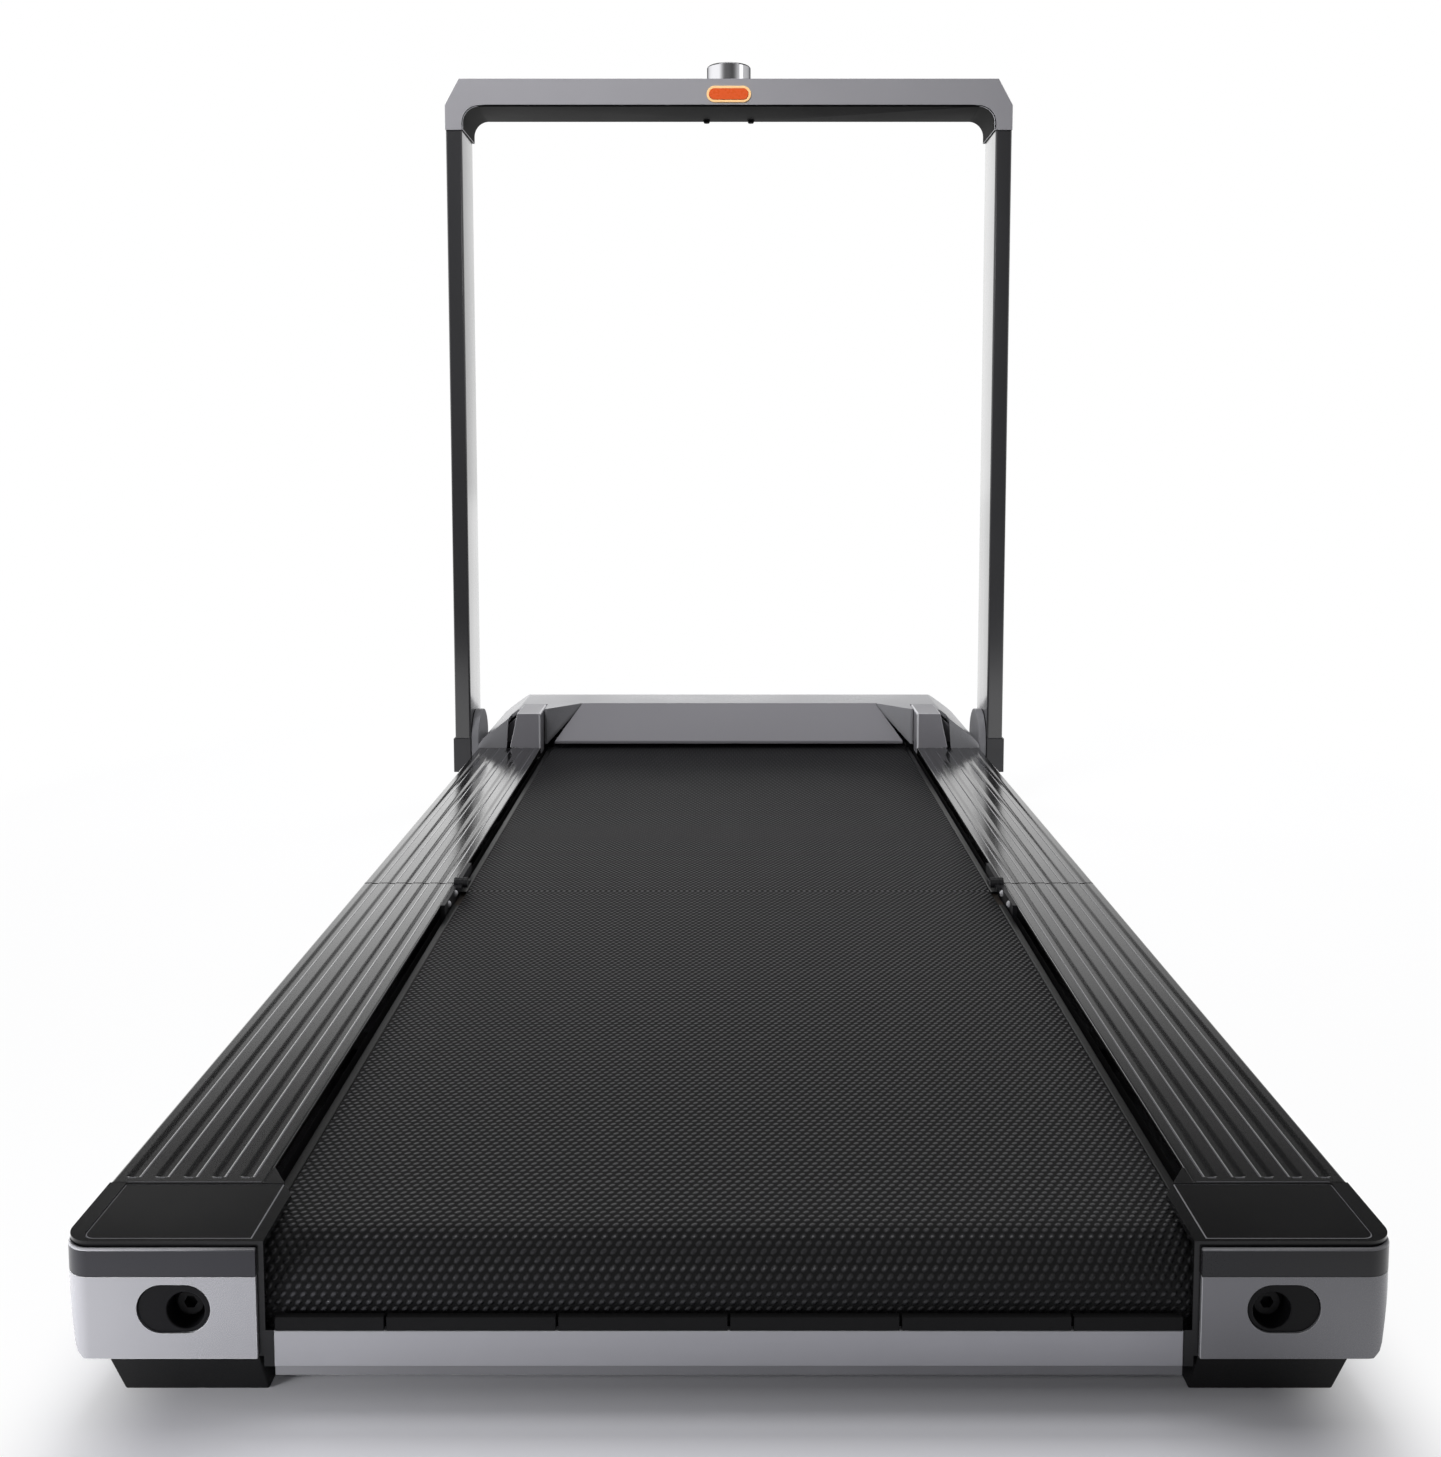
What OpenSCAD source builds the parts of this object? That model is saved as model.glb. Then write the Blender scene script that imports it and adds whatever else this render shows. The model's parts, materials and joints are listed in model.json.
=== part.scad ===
// Folding walking pad. The deck is two halves on a hinge across its middle, so
// the rear half swings up and over onto the front half, and a U-shaped handle
// folds down over both. Millimetres, +Z up, X across the deck, Y from the rear
// end (-) to the hood (+). The origin is on the floor under the pad's centre.

/* [Deck] */
// Length of the unfolded pad
pad_len = 1428; // [1410:1:1470]
// Length of the hood, from its rear face to the front end
hood_len = 223; // [215:1:240]
// Height of the side rails' top above the floor
rail_z = 82; // [80:1:92]
// Width of each side rail
rail_w = 83; // [80:1:95]
// Gap between the two halves at the fold
fold_gap = 1; // [0.6:0.1:2]
// Clearance under the bottom pans
ground_z = 11; // [8:0.5:13]
// Thickness of the bottom pans
pan_t = 2; // [1.5:0.5:3]
// Thickness of the running boards
board_t = 15; // [12:1:18]
// Height of the rubber cushions under the boards
cushion_h = 10; // [8:1:12]
// Diameter of the cushions
cushion_d = 24; // [18:1:28]

/* [Walking belt and rollers] */
// Width of the walking belt
belt_w = 476; // [440:2:500]
// Thickness of the walking belt
belt_t = 2; // [1.5:0.1:2.5]
// Depth of the belt's face below the rails' top
belt_drop = 8; // [7:0.5:10]
// Running clearance between the belt and what it slides on
belt_gap = 0.3; // [0.2:0.1:0.6]
// Space between the belt's edge and the side rail
edge_gap = 12; // [12:0.5:16]
// Diameter of both rollers
roller_d = 49.4; // [46:0.2:52]
// Diameter of the rollers' fixed axles
axle_d = 15; // [12:0.5:16]
// Outer diameter of the roller bearings
bearing_d = 32; // [28:1:36]
// Width of the roller bearings
bearing_w = 12; // [9:1:14]
// Radial clearance of everything that turns
run_fit = 0.05; // [0.03:0.01:0.08]
// Width of the guide strips beside the belt
guide_w = 5.5; // [4:0.5:5.5]
// Height of the guide strips above the board
guide_h = 2; // [1.5:0.5:5]

/* [Frame] */
// Wall of the frame channels
web_t = 3; // [2:0.5:4]
// Width of the channels' flanges
flange_w = 34; // [28:1:38]
// Width of the cross members
cross_w = 30; // [24:2:40]
// Wall of the cross members
cross_wall = 2; // [1.5:0.5:3]
// Thickness of the hinge leaves
leaf_t = 3.8; // [3:0.2:4]
// Radius of the deck hinge's knuckles
knuckle_r = 4.6; // [4.2:0.2:4.8]
// Diameter of the deck hinge's pins
hinge_pin_d = 5; // [4:0.5:6]

/* [Side rails] */
// Wall of the rail covers
cover_t = 3; // [2.5:0.5:4]
// Height of the dark covers, down to the side beams
cover_h = 17; // [14:1:20]
// Wall of the silver side beams
beam_t = 2.5; // [2:0.5:4]
// Number of flutes in each rail
flute_n = 5; // [3:1:5]
// Width of a flute
flute_w = 8; // [5:0.5:9]
// Pitch of the flutes
flute_pitch = 15.4; // [13:0.2:16]
// Depth of the flutes
flute_depth = 1; // [0.6:0.2:1.6]

/* [Rear caps] */
// Length of the rear caps
cap_len = 60.6; // [56:0.2:66]
// Corner radius of the caps, seen from above
cap_r = 14; // [12:1:20]
// Thickness of the caps' outer trims
trim_t = 2.5; // [2:0.5:3]
// Width of the bolt port
port_w = 36.8; // [34:0.2:42]
// Height of the bolt port
port_h = 25.2; // [22:0.2:28]
// Diameter of the bore in the port
port_bore_d = 18.8; // [16:0.2:20]
// Diameter of the belt tension bolts
bolt_d = 8; // [6:0.5:8]
// Height of the rear cross beam
cross_beam_h = 19; // [16:1:20]
// Height of the guard strip above the cross beam
guard_h = 7; // [5:0.5:8]

/* [Hood] */
// Height of the hood above the rails
hood_rise = 46; // [42:1:60]
// Wall of the hood
hood_t = 3; // [2.5:0.5:4]
// Width of the end blocks at their foot
block_w = 41; // [34:1:44]
// Distance from the hood's rear face to the ramp's lip
ramp_back = 35; // [30:1:40]
// Distance of the ramp panel's sides from the belt's edges
ramp_side = 2; // [0:0.5:12]
// Distance from the hood's rear face to the drive roller
drive_back = 75; // [72:1:78]
// Length of the hood's rounded nose
nose_round = 78; // [60:1:84]
// Corner radius of the front end, seen from above
front_r = 40; // [30:1:46]

/* [Motor and wheels] */
// Diameter of the motor
motor_d = 76; // [64:1:80]
// Length of the motor
motor_len = 210; // [160:5:240]
// Diameter of the pulley on the drive roller
big_pulley_d = 54; // [46:1:56]
// Diameter of the pulley on the motor
small_pulley_d = 22; // [18:1:26]
// Diameter of the transport wheels
wheel_d = 50; // [44:1:52]
// Width of the transport wheels
wheel_w = 24; // [18:1:26]

/* [Handle] */
// Width of an upright, seen from behind
upright_w = 21; // [18:0.5:26]
// Depth of an upright
upright_d = 78; // [70:1:84]
// Wall of the uprights
upright_t = 2; // [1.5:0.5:3]
// Thickness of the hinge lugs beside the deck
lug_t = 9.5; // [8:0.5:12]
// Height of the handle's pivot above the rails
pivot_rise = 6; // [4:0.5:10]
// Diameter of the handle's pivot pins
pivot_d = 16; // [12:1:20]
// Height of the console's top above the floor
console_z = 950; // [900:5:1000]
// Height of the console bar
bar_h = 35; // [32:1:42]
// Depth of the console bar
bar_d = 86; // [82:1:92]
// Height of the console's legs below the bar
leg_h = 29; // [24:1:40]
// Radius of the console's inner corners
corner_r = 20; // [12:1:24]
// Wall of the console
shell_t = 2.5; // [2:0.5:3]

/* [Controls] */
// Diameter of the speed knob
knob_d = 57; // [44:1:64]
// Height of the speed knob
knob_h = 24.5; // [18:0.5:30]
// Width of the stop button's ring
ring_w = 57; // [50:1:64]
// Height of the stop button's ring
ring_h = 20.6; // [18:0.2:24]
// Width of the ring's rim
ring_rim = 3.4; // [2.6:0.2:4]
// Travel of the stop button
button_travel = 2; // [1:0.5:2.5]

/* [Hidden] */
$fn = 64;
eps = 0.01;
touch_gap = 0.3;
skin_gap = 0.05;

// Stations along the deck
y0 = -pad_len / 2;
y1 = pad_len / 2;
hood_gap = 3;
hood_y = y1 - hood_len;
yf = (y0 + hood_y - hood_gap) / 2;
ra = yf - fold_gap / 2;
fa = yf + fold_gap / 2;
cap_y = y0 + cap_len;
fold_z = rail_z + fold_gap / 2;

// Stations across the deck
xr = belt_w / 2 + edge_gap;
xo = xr + rail_w;
xf = xr + flange_w;

// Belt loop and running board
r_roll = roller_d / 2;
r_in = r_roll + belt_gap;
r_out = r_in + belt_t;
belt_z = rail_z - belt_drop;
roll_z = belt_z - r_out;
belt_inset = 8;
idler_y = y0 + r_out + belt_inset;
drive_y = hood_y + drive_back;
board_top = belt_z - belt_t - belt_gap;
board_bot = board_top - board_t;
board_back = r_roll + 5;
board_w = belt_w + 2 * 7;
guide_x = belt_w / 2 + 1.5;

// Frame
pan_top = ground_z + pan_t;
chan_top = rail_z - 10;
cross_top = board_bot - cushion_h;
cross_bot = roll_z - r_in + 5;
beam_top = rail_z - cover_h - touch_gap;
beam_bot = ground_z + 10;
fold_cross = 52;
roller_cross = 30;
rear_first = idler_y + board_back + roller_cross;
rear_step = (ra - fold_cross - rear_first) / 2;
rear_cross = [for (i = [0 : 2]) rear_first + i * rear_step];
front_last = drive_y - board_back - fold_cross;
front_step = (front_last - fa - fold_cross) / 3;
front_cross = [for (i = [0 : 3]) fa + fold_cross + i * front_step];
cushion_x = belt_w / 2 - 48;

// Rear caps
shell_in = xr - 18;
face_in = xr - 14.6;
face_bot = ground_z + 11;
face_top = rail_z - 17;
band_top = rail_z - 2.5;
wing_x = xr - 22;
port_x = xr + 26.8;
port_z = roll_z + 1;
bolt_x = port_x - 5.8;
tip_x = xr - 18.4;
tip_y = y0 + 48;
plate_y = y0 + 16;
beam_y = y0 + 2;
cross_beam_z = ground_z + 5.5;
cross_beam_top = cross_beam_z + cross_beam_h;
bolt_head_r = 6.5;
bolt_head_l = 8;

// Hood
hood_top = rail_z + hood_rise;
block_top_w = block_w - 10;
slot_w = 4.5;
ramp_w = belt_w - 2 * ramp_side;
ramp_y = hood_y + ramp_back;
ramp_z = rail_z + 2;
ramp_run = hood_top - ramp_z;
ramp_end = ramp_y + ramp_run;
ramp_top_w = ramp_w - 1.5 * ramp_run;
nose_y = y1 - 2.5;
fascia_y = nose_y - 70.5;
tray_y = hood_y + 35;
tray_end = y1 - 14;
tray_t = 2.5;

// Motor, its belt and the wheels
motor_y = y1 - 59;
motor_z = rail_z - 18;
motor_x0 = xr - 80 - motor_len;
motor_x1 = xr - 80;
shaft_r = 6;
pulley_x0 = xr - 7;
pulley_w = 18;
rib_belt_t = 3;
wheel_y = y1 - wheel_d / 2;
wheel_z = wheel_d / 2 + 5;
wheel_x0 = xf + 6;
stub_r = 5;
cradle_w = 60;
control_box = [66, 42];
control_side = 14;
fin_h = 16;

// Handle
up_x0 = xo + lug_t + 0.5;
up_x1 = up_x0 + upright_w;
up_y0 = hood_y + 2;
up_y1 = up_y0 + upright_d;
pivot_y = (up_y0 + up_y1) / 2;
pivot_z = rail_z + pivot_rise;
pivot_r = pivot_d / 2;
up_z0 = pivot_z - 37;
sleeve_top = rail_z + 12.5;
bar_z = console_z - bar_h;
leg_z = bar_z - leg_h;
console_y = up_y0 - 2;
console_y1 = console_y + bar_d;
leg_in = up_x0 - 2;
console_chamfer = [18.4, 33];
tenon_h = 24;

// Controls
button_z = bar_z + 15.5;
button_w = ring_w - 2 * ring_rim;
button_h = ring_h - 2 * ring_rim;
knob_y = (console_y + console_y1) / 2;
knob_gap = 0.5;
encoder_r = 4.8;
spindle_r = 3;

// Power switch
rocker_y = nose_y - 6;
rocker_z = beam_bot + 17;
rocker_x = -xr + 66;
rocker_w = 13;
rocker_pin = 1.5;
inlet_x = -xr + 32;
inlet_w = 28;
inlet_h = 20;
off_tilt = 8;

// Draws its child and its mirror image on the other side of the deck
module both_sides() {
    children();
    mirror([1, 0, 0]) children();
}

// Carries an outline drawn as (x, z) along Y
module along_y(ya, yb) {
    translate([0, yb, 0]) rotate([90, 0, 0]) linear_extrude(yb - ya) children();
}

// Carries an outline drawn as (y, z) along X
module along_x(xa, xb) {
    translate([xa, 0, 0]) rotate([90, 0, 90]) linear_extrude(xb - xa) children();
}

// Carries an outline drawn as (x, y) upwards
module upward(za, zb) {
    translate([0, 0, za]) linear_extrude(zb - za) children();
}

// Round bar along X
module rod_x(xa, xb, r, y, z) {
    translate([xa, y, z]) rotate([0, 90, 0]) cylinder(h = xb - xa, r = r);
}

// Round bar along Y
module rod_y(ya, yb, r, x, z) {
    translate([x, ya, z]) rotate([-90, 0, 0]) cylinder(h = yb - ya, r = r);
}

// Box from its lowest to its highest corner
module box(a, b) {
    translate(a) cube(b - a);
}

// Outline with two round ends, w wide and h high
module pill(w, h) {
    square([w - h, h], center = true);
    for (s = [-1, 1]) translate([s * (w - h) / 2, 0]) circle(d = h);
}

// Rectangle with round corners
module soft_rect(w, h, r) {
    square([w - 2 * r, h], center = true);
    square([w, h - 2 * r], center = true);
    for (sx = [-1, 1], sy = [-1, 1])
        translate([sx * (w / 2 - r), sy * (h / 2 - r)]) circle(r);
}

// Outer side of a beam or cap, seen from behind, drawn in by e
function side_line(e) = [
    [xo - 16 - e, face_bot - 1], [xo - 10.5 - e, face_bot],
    [xo - 7 - e, face_bot + 3], [xo - 5.5 - e, face_bot + 7],
    [xo - e, face_top], [xo - e, rail_z]
];

// Frame channels on both sides
module channels(ya, yb) {
    both_sides() along_y(ya, yb) {
        translate([xr, pan_top]) square([web_t, chan_top - pan_top]);
        translate([xr, pan_top]) square([flange_w, web_t]);
        translate([xr, chan_top - web_t]) square([flange_w, web_t]);
    }
}

// Rectangular tube across the deck
module cross_member(y) {
    difference() {
        box([-xr - eps, y - cross_w / 2, cross_bot], [xr + eps, y + cross_w / 2, cross_top]);
        box([-xr - 1, y - cross_w / 2 + cross_wall, cross_bot + cross_wall],
            [xr + 1, y + cross_w / 2 - cross_wall, cross_top - cross_wall]);
    }
}

module rear_frame() {
    slot_l = axle_d + 12;
    color("dimgray") difference() {
        union() {
            channels(plate_y, ra - 1);
            for (y = rear_cross) cross_member(y);
            both_sides() box([xr, plate_y, roll_z - 20], [xf, plate_y + 4, roll_z + 20]);
        }
        both_sides() translate([xr - 1, idler_y, roll_z]) rotate([90, 0, 90])
            linear_extrude(web_t + 2) pill(slot_l, axle_d + 0.6);
        both_sides() rod_y(plate_y - 1, plate_y + 5, bolt_d / 2 + 0.3, bolt_x, roll_z);
    }
}

// A rail's cover seen from behind: top, outer skirt, inner skirt and a rib
module cover_outline() {
    translate([xr, rail_z - cover_t]) square([rail_w, cover_t]);
    translate([xo - cover_t, rail_z - cover_h]) square([cover_t, cover_h]);
    translate([xr, chan_top]) square([cover_t, rail_z - chan_top]);
    translate([xf - cover_t, chan_top]) square([cover_t, rail_z - chan_top]);
}

module rail_covers(ya, yb, end_a, end_b) {
    both_sides() difference() {
        along_y(ya, yb) cover_outline();
        for (i = [0 : flute_n - 1])
            translate([xr + 11.6 + i * flute_pitch, (ya + end_a + yb - end_b) / 2, rail_z - flute_depth])
                linear_extrude(flute_depth + 1) rotate(90)
                    pill(yb - end_b - ya - end_a, flute_w);
    }
}

module rear_rail_covers() {
    color("#262626") rail_covers(cap_y + touch_gap, ra, 5.5, -20);
}

module front_rail_covers() {
    color("#2a2a2a") rail_covers(fa, hood_y - touch_gap, -20, -20);
}

// Hollow silver side beam
module side_beams(ya, yb) {
    both_sides() along_y(ya, yb) difference() {
        polygon(concat([[xf, face_bot - 1]], [for (i = [0 : 4]) side_line(0)[i]],
            [[xf, beam_top]]));
        polygon(concat([[xf + beam_t, face_bot - 1 + beam_t]],
            [[xo - 16 - beam_t, face_bot - 1 + beam_t], [xo - 8.5 - beam_t, face_bot + 5.5],
             [xo - 1.8 - beam_t, beam_top - beam_t]],
            [[xf + beam_t, beam_top - beam_t]]));
    }
}

module rear_side_beams() {
    color("silver") difference() {
        side_beams(cap_y + touch_gap, ra);
        beam_trim(cap_y, ra);
    }
}

// Keeps the beams' top edge under the covers
module beam_trim(ya, yb) {
    both_sides() box([xf - 1, ya - 1, beam_top], [xo + 1, yb + 1, rail_z]);
}

module running_board(ya, yb) {
    box([-board_w / 2, ya, board_bot], [board_w / 2, yb, board_top]);
}

module rear_running_board() {
    color("burlywood") running_board(idler_y + board_back, ra);
}

module front_running_board() {
    color("burlywood") running_board(fa, drive_y - board_back);
}

// Rubber cushions between the cross members and the board
module cushions(ys) {
    both_sides() for (y = ys) translate([cushion_x, y, cross_top])
        cylinder(h = cushion_h, d = cushion_d);
}

module rear_cushions() {
    color("#1b1b1b") cushions(rear_cross);
}

module front_cushions() {
    color("#1b1b1b") cushions(front_cross);
}

// Half of the belt loop, seen from the side: two runs round a roller at y,
// open at the fold
module belt_half(y, ye) {
    s = sign(ye - y);
    along_x(-belt_w / 2, belt_w / 2) difference() {
        union() {
            translate([y, roll_z]) circle(r_out, $fn = 96);
            translate([min(y, ye), roll_z - r_out]) square([abs(ye - y), 2 * r_out]);
        }
        translate([y, roll_z]) circle(r_in, $fn = 96);
        translate([min(y, ye + s), roll_z - r_in]) square([abs(ye + s - y), 2 * r_in]);
    }
}

module rear_walking_belt() {
    color("#333333") belt_half(idler_y, ra);
}

module front_walking_belt() {
    color("#333333") belt_half(drive_y, fa);
}

// Strips that keep the belt central, lying on the board's edges
module belt_guides(ya, yb) {
    both_sides() box([guide_x, ya, board_top], [guide_x + guide_w, yb, board_top + guide_h]);
}

module rear_belt_guides() {
    color("#3a3a3a") belt_guides(idler_y + board_back, ra - 36);
}

module front_belt_guides() {
    color("#3a3a3a") belt_guides(fa, drive_y - board_back);
}

module rear_bottom_pan() {
    color("#202020") {
        box([-xf, plate_y, ground_z], [xf, ra - 1, pan_top]);
        box([-wing_x, beam_y + 2, ground_z], [wing_x, plate_y + eps, pan_top]);
        box([-wing_x, beam_y + 2, ground_z], [wing_x, beam_y + 4, cross_beam_z]);
    }
}

module front_bottom_pan() {
    color("#202020") box([-xf, fa + 1, ground_z], [xf, tray_end, pan_top]);
}

// A cap's outline from above, drawn in by e at its rear and outer sides
module cap_plan(e, x_in) {
    r = cap_r - e;
    translate([x_in, y0 + cap_r]) square([xo - e - x_in, cap_len - cap_r]);
    translate([x_in, y0 + e]) square([xo - cap_r - x_in, cap_r]);
    translate([xo - cap_r, y0 + cap_r]) circle(r);
}

// A cap's solid: the plan cut to the side beam's slope
module cap_solid(e, x_in, za, zb) {
    intersection() {
        upward(za, zb) cap_plan(e, x_in);
        along_y(y0 - 1, cap_y + 1) polygon(concat(
            [[x_in - 1, face_bot - 1]], side_line(e), [[x_in - 1, rail_z]]));
    }
}

module port_hole(grow) {
    translate([port_x, y0 + 20, port_z]) rotate([90, 0, 0])
        linear_extrude(30) pill(port_w + grow, port_h + grow);
}

// The plate's outline on top of a cap
module inlay_plan(e) {
    r = cap_r - 8;
    xa = xo - 9 - e;
    ya = y0 + 5 + e;
    translate([tip_x + 6.7 + e, ya + r]) square([xa - tip_x - 6.7 - e, cap_len - 6 - r - 2 * e]);
    translate([tip_x + 6.7 + e, ya]) square([xa - r - tip_x - 6.7 - e, r + eps]);
    translate([xa - r, ya + r]) circle(r);
}

module rear_caps() {
    wall = trim_t + cover_t;
    color("#202020") both_sides() difference() {
        union() {
            cap_solid(trim_t + skin_gap, shell_in, face_bot, rail_z);
            upward(rail_z - cover_t, rail_z) polygon([
                [shell_in + 3.6, y0 + trim_t], [tip_x, tip_y], [xr - touch_gap, tip_y + 30],
                [xr - touch_gap, cap_y], [xr + 10, cap_y], [xr + 10, y0 + trim_t]]);
            intersection() {
                cap_solid(0, shell_in, band_top + touch_gap, rail_z);
                translate([0, trim_t + skin_gap, 0])
                    cap_solid(0, shell_in, band_top + touch_gap, rail_z);
            }
            box([wing_x, beam_y + 0.5, cross_beam_z], [shell_in + 1, y0 + 7, cross_beam_top]);
        }
        difference() {
            cap_solid(wall, xr - 30, ground_z, rail_z - cover_t);
            box([xr - 31, y0, ground_z], [xo, y0 + wall + eps, rail_z]);
            for (y = [y0 + 30, y0 + 45])
                box([xr + web_t, y, chan_top], [xf, y + cover_t, rail_z]);
        }
        box([shell_in - 1, y0 + wall, face_bot - 2], [xr, cap_y + 1, rail_z - cover_t]);
        upward(rail_z - cover_t - 1, rail_z + 1) polygon([
            [shell_in - 1, tip_y], [tip_x, tip_y], [xr - touch_gap, tip_y + 30],
            [xr - touch_gap, tip_y + 31], [shell_in - 1, tip_y + 31]]);
        upward(rail_z - 1.8, rail_z + 1) inlay_plan(0);
        port_hole(touch_gap);
    }
}

module cap_top_plates() {
    color("#222222") both_sides() upward(rail_z - 1.8, rail_z - 0.3) inlay_plan(0.2);
}

module cap_bands() {
    color("#46464b") both_sides() difference() {
        cap_solid(0, face_in, face_top, band_top);
        cap_solid(trim_t, face_in - 1, face_top - 1, rail_z);
    }
}

module cap_faces() {
    color("#b0b0b4") both_sides() difference() {
        cap_solid(0, face_in, face_bot, face_top - touch_gap);
        cap_solid(trim_t, face_in - 1, face_bot - 1, rail_z);
        port_hole(2 * skin_gap);
    }
}

module bolt_port_inserts() {
    color("#151515") both_sides() difference() {
        translate([port_x, y0 + 13, port_z]) rotate([90, 0, 0])
            linear_extrude(12.2) pill(port_w, port_h);
        rod_y(y0 - 1, y0 + 14, port_bore_d / 2, bolt_x, roll_z);
    }
}

// Foot blocks under the caps, narrower at the floor
module rear_feet() {
    color("#1f1f22") both_sides() intersection() {
        along_y(y0, cap_y + 12) polygon([[shell_in + 1, 0], [xo - 27, 0],
            [xo - 22, face_bot], [shell_in + 3, face_bot]]);
        along_x(shell_in - 5, xo) polygon([[y0 + 9.4, 0], [cap_y + 12, 0],
            [cap_y + 12, ground_z], [plate_y - touch_gap, ground_z],
            [plate_y - touch_gap, face_bot], [y0 + 2, face_bot]]);
    }
}

// Rubber lip over the cross beam, in lengths of one pitch
module rear_guard_strip() {
    pitch = 86;
    slit = 1.5;
    n = ceil(wing_x / pitch);
    color("#262626") for (i = [-n : n - 1]) {
        xa = max(i * pitch + slit / 2, -wing_x + 1);
        xb = min((i + 1) * pitch - slit / 2, wing_x - 1);
        if (xb - xa > 5)
            box([xa, beam_y, cross_beam_top], [xb, beam_y + 3.6, cross_beam_top + guard_h]);
    }
}

module rear_cross_beam() {
    w = wing_x - 0.2;
    color("#9a9a9e") along_x(-w, w) {
        translate([beam_y, cross_beam_z]) square([2.5, cross_beam_h]);
        translate([beam_y, cross_beam_top - 2.5]) square([4.5, 2.5]);
        translate([beam_y, cross_beam_z]) square([12, 2.5]);
    }
}

// One side's leaf of the deck hinge. side is 1 in front of the fold, -1 behind.
// knuckles are the stretches along X that turn on the pin.
module hinge_leaf(side, knuckles, web_x) {
    bore = hinge_pin_d / 2 + (side < 0 ? run_fit : 0);
    far = yf + side * 65;
    near = yf + side * fold_gap / 2;
    web_a = yf + side * (knuckle_r + 1.8);
    web_b = yf + side * (knuckle_r + 9);
    web_z = fold_z - knuckle_r;
    difference() {
        union() {
            difference() {
                box([xr - leaf_t, min(near, far), cross_top + touch_gap], [xr, max(near, far), rail_z]);
                if (side < 0)
                    rod_x(xr - leaf_t - 1, xr + 1, knuckle_r + 0.8, yf, fold_z);
            }
            for (k = knuckles) {
                rod_x(k[0], k[1], knuckle_r, yf, fold_z);
                box([k[0], min(yf, web_b), web_z], [k[1], max(yf, web_b), rail_z]);
            }
            box([web_x, min(web_a, web_b), web_z], [xr, max(web_a, web_b), rail_z]);
        }
        rod_x(xr - edge_gap - 1, xr + 1, bore, yf, fold_z);
    }
}

module rear_hinge_leaves() {
    color("#3c3c40") both_sides() hinge_leaf(-1, [[xr - 8, xr - 4]], xr - 8);
}

module front_hinge_leaves() {
    color("#3c3c40") both_sides()
        hinge_leaf(1, [[xr - edge_gap, xr - 8.2], [xr - leaf_t, xr]], xr - edge_gap);
}

module deck_hinge_pins() {
    color("silver") both_sides() rod_x(xr - edge_gap, xr, hinge_pin_d / 2, yf, fold_z);
}

// Fixed axle with a bearing near each end of the roller
module roller_axle(y, reach) {
    rod_x(-reach, reach, axle_d / 2, y, roll_z);
    for (s = [-1, 1]) {
        xm = s * (belt_w / 2 - bearing_w / 2 - 2);
        rod_x(xm - bearing_w / 2, xm + bearing_w / 2, bearing_d / 2, y, roll_z);
    }
}

module idler_axle() {
    color("silver") difference() {
        roller_axle(idler_y, bolt_x + 9);
        both_sides() rod_y(idler_y - axle_d, idler_y + axle_d, bolt_d / 2 + run_fit, bolt_x, roll_z);
    }
}

module drive_axle() {
    color("silver") roller_axle(drive_y, xf);
}

// Steel tube with bored ends that turn on the bearings
module roller(y) {
    half = belt_w / 2 + 1;
    seat = bearing_d / 2 + run_fit;
    deep = bearing_w + 4;
    difference() {
        rod_x(-half, half, r_roll, y, roll_z);
        rod_x(-half + deep + 6, half - deep - 6, r_roll - 3, y, roll_z);
        rod_x(-half - 1, half + 1, axle_d / 2 + 1, y, roll_z);
        for (s = [-1, 1])
            rod_x(min(s * (half + 1), s * (half - deep)), max(s * (half + 1), s * (half - deep)),
                seat, y, roll_z);
    }
}

module idler_roller() {
    color("gray") roller(idler_y);
}

module drive_roller() {
    color("gray") roller(drive_y);
}

module tension_bolt(s) {
    color("dimgray") difference() {
        union() {
            rod_y(plate_y - bolt_head_l, plate_y, bolt_head_r, s * bolt_x, roll_z);
            rod_y(plate_y - 1, idler_y + axle_d / 2 + 6, bolt_d / 2, s * bolt_x, roll_z);
        }
        translate([s * bolt_x, plate_y - bolt_head_l - 1, roll_z]) rotate([-90, 0, 0])
            cylinder(h = 6, d = 6.9, $fn = 6);
    }
}

module tension_bolt_left() {
    tension_bolt(-1);
}

module tension_bolt_right() {
    tension_bolt(1);
}

// Front frame: channels and cross members, with a motor tray welded on
module front_frame() {
    color("dimgray") difference() {
        union() {
            channels(fa + 1, tray_y + 2);
            for (y = front_cross) cross_member(y);
            box([-xf, tray_y, pan_top], [xf, tray_end, pan_top + tray_t]);
            both_sides() box([xf - tray_t, tray_y, pan_top], [xf, tray_end, chan_top]);
            box([-xf, tray_end - tray_t, pan_top], [xf, tray_end, pan_top + 12]);
        }
        both_sides() rod_x(xf - tray_t - 1, xf + 1, axle_d / 2, drive_y, roll_z);
    }
}

module front_side_beams() {
    color("silver") difference() {
        side_beams(fa, fascia_y);
        beam_trim(fa, fascia_y);
    }
}

module front_feet() {
    color("#1b1b1b") both_sides() for (y = [fa + 25, fascia_y - 70])
        box([xr - 20, y, 0], [xr + 26, y + 44, ground_z]);
}

// Points of an arc from angle a to angle b
function arc(cx, cy, rx, ry, a, b) = [for (i = [0 : 12])
    [cx + rx * cos(a + (b - a) * i / 12), cy + ry * sin(a + (b - a) * i / 12)]];

// The front end's outline from above, drawn in by e
module front_plan(e, ya) {
    r = front_r - e;
    cx = xo - front_r;
    cy = nose_y - front_r;
    polygon(concat([[xo - e, ya]], arc(cx, cy, r, r, 0, 90), arc(-cx, cy, r, r, 90, 180),
        [[e - xo, ya]]));
}

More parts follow.
